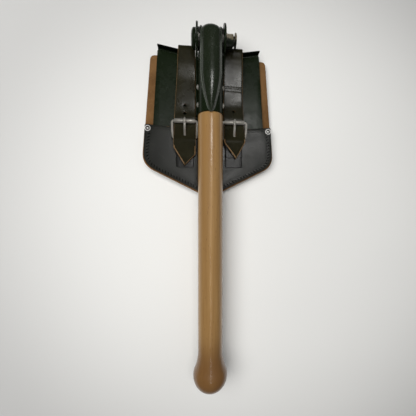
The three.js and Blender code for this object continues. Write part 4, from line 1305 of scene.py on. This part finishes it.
# ---------------------------------------------------------------- buckles
def make_buckle(side, looks):
    """Frame of bent wire, roller tube on its front bar, and prong on its heel bar."""
    x = SIDES[side] * STRAP_X
    rise = math.atan2(ROLLER_Z - HEEL_Z, ROLLER_Y - HEEL_Y)
    length = math.hypot(ROLLER_Z - HEEL_Z, ROLLER_Y - HEEL_Y)
    half = [(0, 0), (16.0, 0, 2.6), (16.3, 5, 2), (16.8, 9, 3), (16.8, length, 3.2), (0, length)]
    ring = rounded(half, 8, closed=False)
    ring += [Vector((-p.x, p.y)) for p in reversed(ring[1:-1])]
    ring = spaced(ring, 0.9, closed=True)
    ahead, up = math.cos(rise), math.sin(rise)
    path = [Vector((x + p.x, HEEL_Y + p.y * ahead, HEEL_Z + p.y * up)) for p in ring]
    build = Build()
    build.tube(path, WIRE_RADIUS, 16, around=True)
    node = f"buckle_frame_{side}"
    build.finish(f"{node}_wire", [node], [looks["nickel"]], slot="nickel_steel")

    end = 13.7
    profile = [(WIRE_BORE, x - end), (2.8, x - end), (ROLLER_RADIUS, x - end + 0.3),
               (ROLLER_RADIUS + 0.02, x - 4), (ROLLER_RADIUS + 0.02, x + 4),
               (ROLLER_RADIUS, x + end - 0.3), (2.8, x + end), (WIRE_BORE, x + end)]
    node = f"buckle_roller_{side}"
    lathe(f"{node}_tube", node, profile, along_x(ROLLER_Y, ROLLER_Z), looks["nickel"], f"roller_{side}",
          "nickel_steel", sides=48, around=True)

    rest = ROLLER_Z + ROLLER_RADIUS + 0.35 + 1.3
    corners = [(HEEL_Y + 1.5, HEEL_Z + 1.6), (HEEL_Y + 5, HEEL_Z + 2.4), (HEEL_Y + 12, rest - 2.7),
               (ROLLER_Y - 3, rest - 0.9), (ROLLER_Y, rest), (ROLLER_Y + 3.2, rest + 0.2)]
    line = smooth(corners, 0.8)
    build = Build()
    rings = []
    count = len(line)
    for i, at in enumerate(line):
        along = (line[min(i + 1, count - 1)] - line[max(i - 1, 0)]).normalized()
        out = Vector((-along.y, along.x))
        end = ease((count - 1 - i) / 3)
        wide, tall = 1.6 * (0.55 + 0.45 * end), 1.3 * (0.5 + 0.5 * end)
        ring = []
        for k in range(16):
            a = 2 * math.pi * k / 16
            c, s = math.cos(a), math.sin(a)
            u = math.copysign(abs(c) ** 0.6, c) * wide
            v = math.copysign(abs(s) ** 0.6, s) * tall
            ring.append(Vector((x + u, at.x + out.x * v, at.y + out.y * v)))
        rings.append(ring)
    build.loft(rings)
    half = [(WIRE_BORE, 1.6), (3.9, 1.6), (4.3, 1.2)]
    profile = [(r, x - h) for r, h in half] + [(r, x + h) for r, h in reversed(half)]
    build.turned(profile, along_x(HEEL_Y, HEEL_Z), 36, around=True)
    node = f"buckle_prong_{side}"
    build.finish(f"{node}_bar", [node], [looks["nickel"]], f"prong_{side}", "nickel_steel")


# ---------------------------------------------------------------- inner pieces
def dress_inner(looks):
    """The hidden pieces keep their CAD shapes and get materials."""
    plain = {
        "paint": ["hinge_tongue", "tongue_pin", *(f"bracket_rivet_{i}" for i in range(1, 5))],
        "steel": ["hinge_washer_left", "hinge_washer_right", "lock_bolt", "bolt_collar"],
        # the washers sit in the gaps beside the cheeks; their dark steel also serves as painted shade in
        # those gaps
        "nickel": ["chape_rivet_1", "chape_rivet_2"],
    }
    for look, nodes in plain.items():
        for node in nodes:
            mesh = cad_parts[node].data
            mesh.materials.clear()
            mesh.materials.append(looks[look])


# ---------------------------------------------------------------- floor, light and camera
def make_floor():
    """Matt pale floor with a painted pool of light: greyer away from a place beside the handle."""
    look = Look("pale_floor")
    middle = look.mix(look.span(look.noise(3, 2), 0.3, 0.7), (0.80, 0.80, 0.785), (0.82, 0.82, 0.805))
    x, y, _ = look.split()
    aside = look.minus(x, 0.12)
    below = look.plus(y, 0.04)
    reach = look.plus(look.times(aside, aside), look.times(below, below))
    # painted light: brighter near the object, darker towards the edges, like a vignette
    color = look.mix(look.span(reach, 0.02, 0.22), middle, (0.54, 0.54, 0.535))
    look.set(Base_Color=color, Roughness=0.8)
    mesh = bpy.data.meshes.new("floor")
    half = 6.0
    corners = [(-half, -half, 0), (half, -half, 0), (half, half, 0), (-half, half, 0)]
    mesh.from_pydata(corners, [], [(0, 1, 2, 3)])
    mesh.materials.append(look.material)
    floor = bpy.data.objects.new("floor", mesh)
    bpy.context.scene.collection.objects.link(floor)


WARM, WHITE = (1, 0.99, 0.97), (1, 1, 1)
# Name, place, aim and size in metres, power in watts, colour, and whether gloss shows the lamp.
LAMPS = (
    ("overhead", (0.20, 0.44, 1.5), (0, 0.05, 0), (0.30, 0.30), 3.1, WARM, True),
    ("strip", (0.02, -0.30, 1.5), (0.02, -0.1, 0), (0.05, 1.3), 1.3, WARM, True),
    ("soft_fill", (-0.40, 0.20, 1.08), (0, 0.03, 0), (0.8, 0.8), 13.9, WARM, False),
    ("wide_right", (1.1, 0.1, 1.6), (0, 0, 0), (1.6, 1.6), 1.8, WHITE, False),
)
WORLD_COLOR, WORLD_STRENGTH = (0.95, 0.97, 1, 1), 0.07


def make_light():
    for name, at, aim, size, power, color, glossy in LAMPS:
        light = bpy.data.lights.new(name, "AREA")
        light.shape = "RECTANGLE"
        light.size, light.size_y = size
        light.energy = power
        light.color = color
        lamp = bpy.data.objects.new(name, light)
        lamp.location = at
        lamp.rotation_mode = "QUATERNION"
        lamp.rotation_quaternion = (Vector(aim) - Vector(at)).to_track_quat("-Z", "Y")
        lamp.visible_glossy = glossy
        bpy.context.scene.collection.objects.link(lamp)
    world = bpy.data.worlds.new("studio")
    world.use_nodes = True
    background = world.node_tree.nodes["Background"]
    background.inputs["Color"].default_value = WORLD_COLOR
    background.inputs["Strength"].default_value = WORLD_STRENGTH
    bpy.context.scene.world = world
    bpy.context.scene.view_settings.view_transform = "Standard"


CAMERA_LENS = 23.05
CAMERA_PLACE = (-0.0202, 0.0194, 0.3948)
CAMERA_TURN = (-1.32, -7.00, -0.04)
CAMERA_SHIFT = (-0.0474, -0.0151)


def make_camera():
    data = bpy.data.cameras.new("camera")
    data.lens = CAMERA_LENS
    data.shift_x, data.shift_y = CAMERA_SHIFT
    camera = bpy.data.objects.new("camera", data)
    camera.location = CAMERA_PLACE
    camera.rotation_mode = "ZYX"
    camera.rotation_euler = [math.radians(a) for a in CAMERA_TURN]
    bpy.context.scene.collection.objects.link(camera)
    bpy.context.scene.camera = camera


def make_looks():
    side = carrier_side(POCKET_EDGE_Y) * MM
    crease = {
        "rise": POCKET_DIP * MM / side**2,
        "middle": (POCKET_EDGE_Y - POCKET_DIP) * MM,
        "below": 4.5 * MM,
    }
    return {
        "wood": wood_look(),
        "paint": paint_look(),
        # the blade's turned-up lips get painted shade above LIP_SHADE_Z
        "blade": paint_look("blade_green_paint", painted_shade_above=LIP_SHADE_Z * MM),
        "pick_paint": paint_look(
            "glossy_green_paint", (0.006, 0.0095, 0.0035), (0.009, 0.0140, 0.0055), gloss=0.8
        ),
        # worn paint on the pick's ribs, lightened further as a painted highlight
        "worn_paint_and_highlight": paint_look(
            "worn_green_paint_and_painted_highlight", (0.055, 0.066, 0.052), (0.085, 0.098, 0.080), gloss=0.8
        ),
        "pocket": pocket_look(
            "pocket_leather", (0.0075, 0.0080, 0.0065), (0.0130, 0.0135, 0.0110), crease
        ),
        # dark leather on the chapes, darkened further as painted shade for the strap tips' shadow
        "chape": pocket_look("chape_leather_with_painted_shade", (0.0030, 0.0030, 0.0025), (0.006, 0.0058, 0.005)),
        "back": pocket_look("back_panel_grain", (0.022, 0.021, 0.017), (0.036, 0.035, 0.030)),
        "strap": strap_look(),
        "flesh": flesh_look(),
        "cut": cut_look(),
        "nickel": metal_look(
            "dull_nickel", (0.36, 0.345, 0.305), (0.52, 0.50, 0.455), 0.38,
            tarnish=(0.15, 0.135, 0.105), metallic=0.7,
        ),
        "bright": metal_look(
            "bright_nickel", (0.80, 0.80, 0.78), (0.92, 0.92, 0.90), 0.36,
            tarnish=(0.5, 0.49, 0.45), metallic=0.45,
        ),
        "steel": metal_look(
            "oiled_steel", (0.07, 0.068, 0.062), (0.14, 0.135, 0.125), 0.45,
            tarnish=(0.04, 0.035, 0.03),
        ),
        # barrel and button: worn bare metal on top, paint and painted shade on the lower side
        "warm": metal_look(
            "worn_bare_metal_painted_shade_below", (0.22, 0.19, 0.12), (0.52, 0.46, 0.34), 0.40,
            tarnish=(0.07, 0.06, 0.04), spots=0.6, metallic=0.7, paint_and_shade_below=(PIVOT_Y - 1.5) * MM,
        ),
        "thread": thread_look(),
    }


def make_all():
    looks = make_looks()
    make_wood(looks)
    make_ferrule(looks)
    make_pick(looks)
    make_bracket(looks)
    make_lock(looks)
    make_blade(looks)
    make_back_panel(looks)
    make_pocket(looks)
    make_welt(looks)
    make_stitching(looks)
    make_rivets(looks)
    for side in SIDES:
        make_strap(side, looks)
        make_belt_loop(side, looks)
        make_chape(side, looks)
        make_buckle(side, looks)
    dress_inner(looks)


make_all()
make_floor()
make_light()
make_camera()
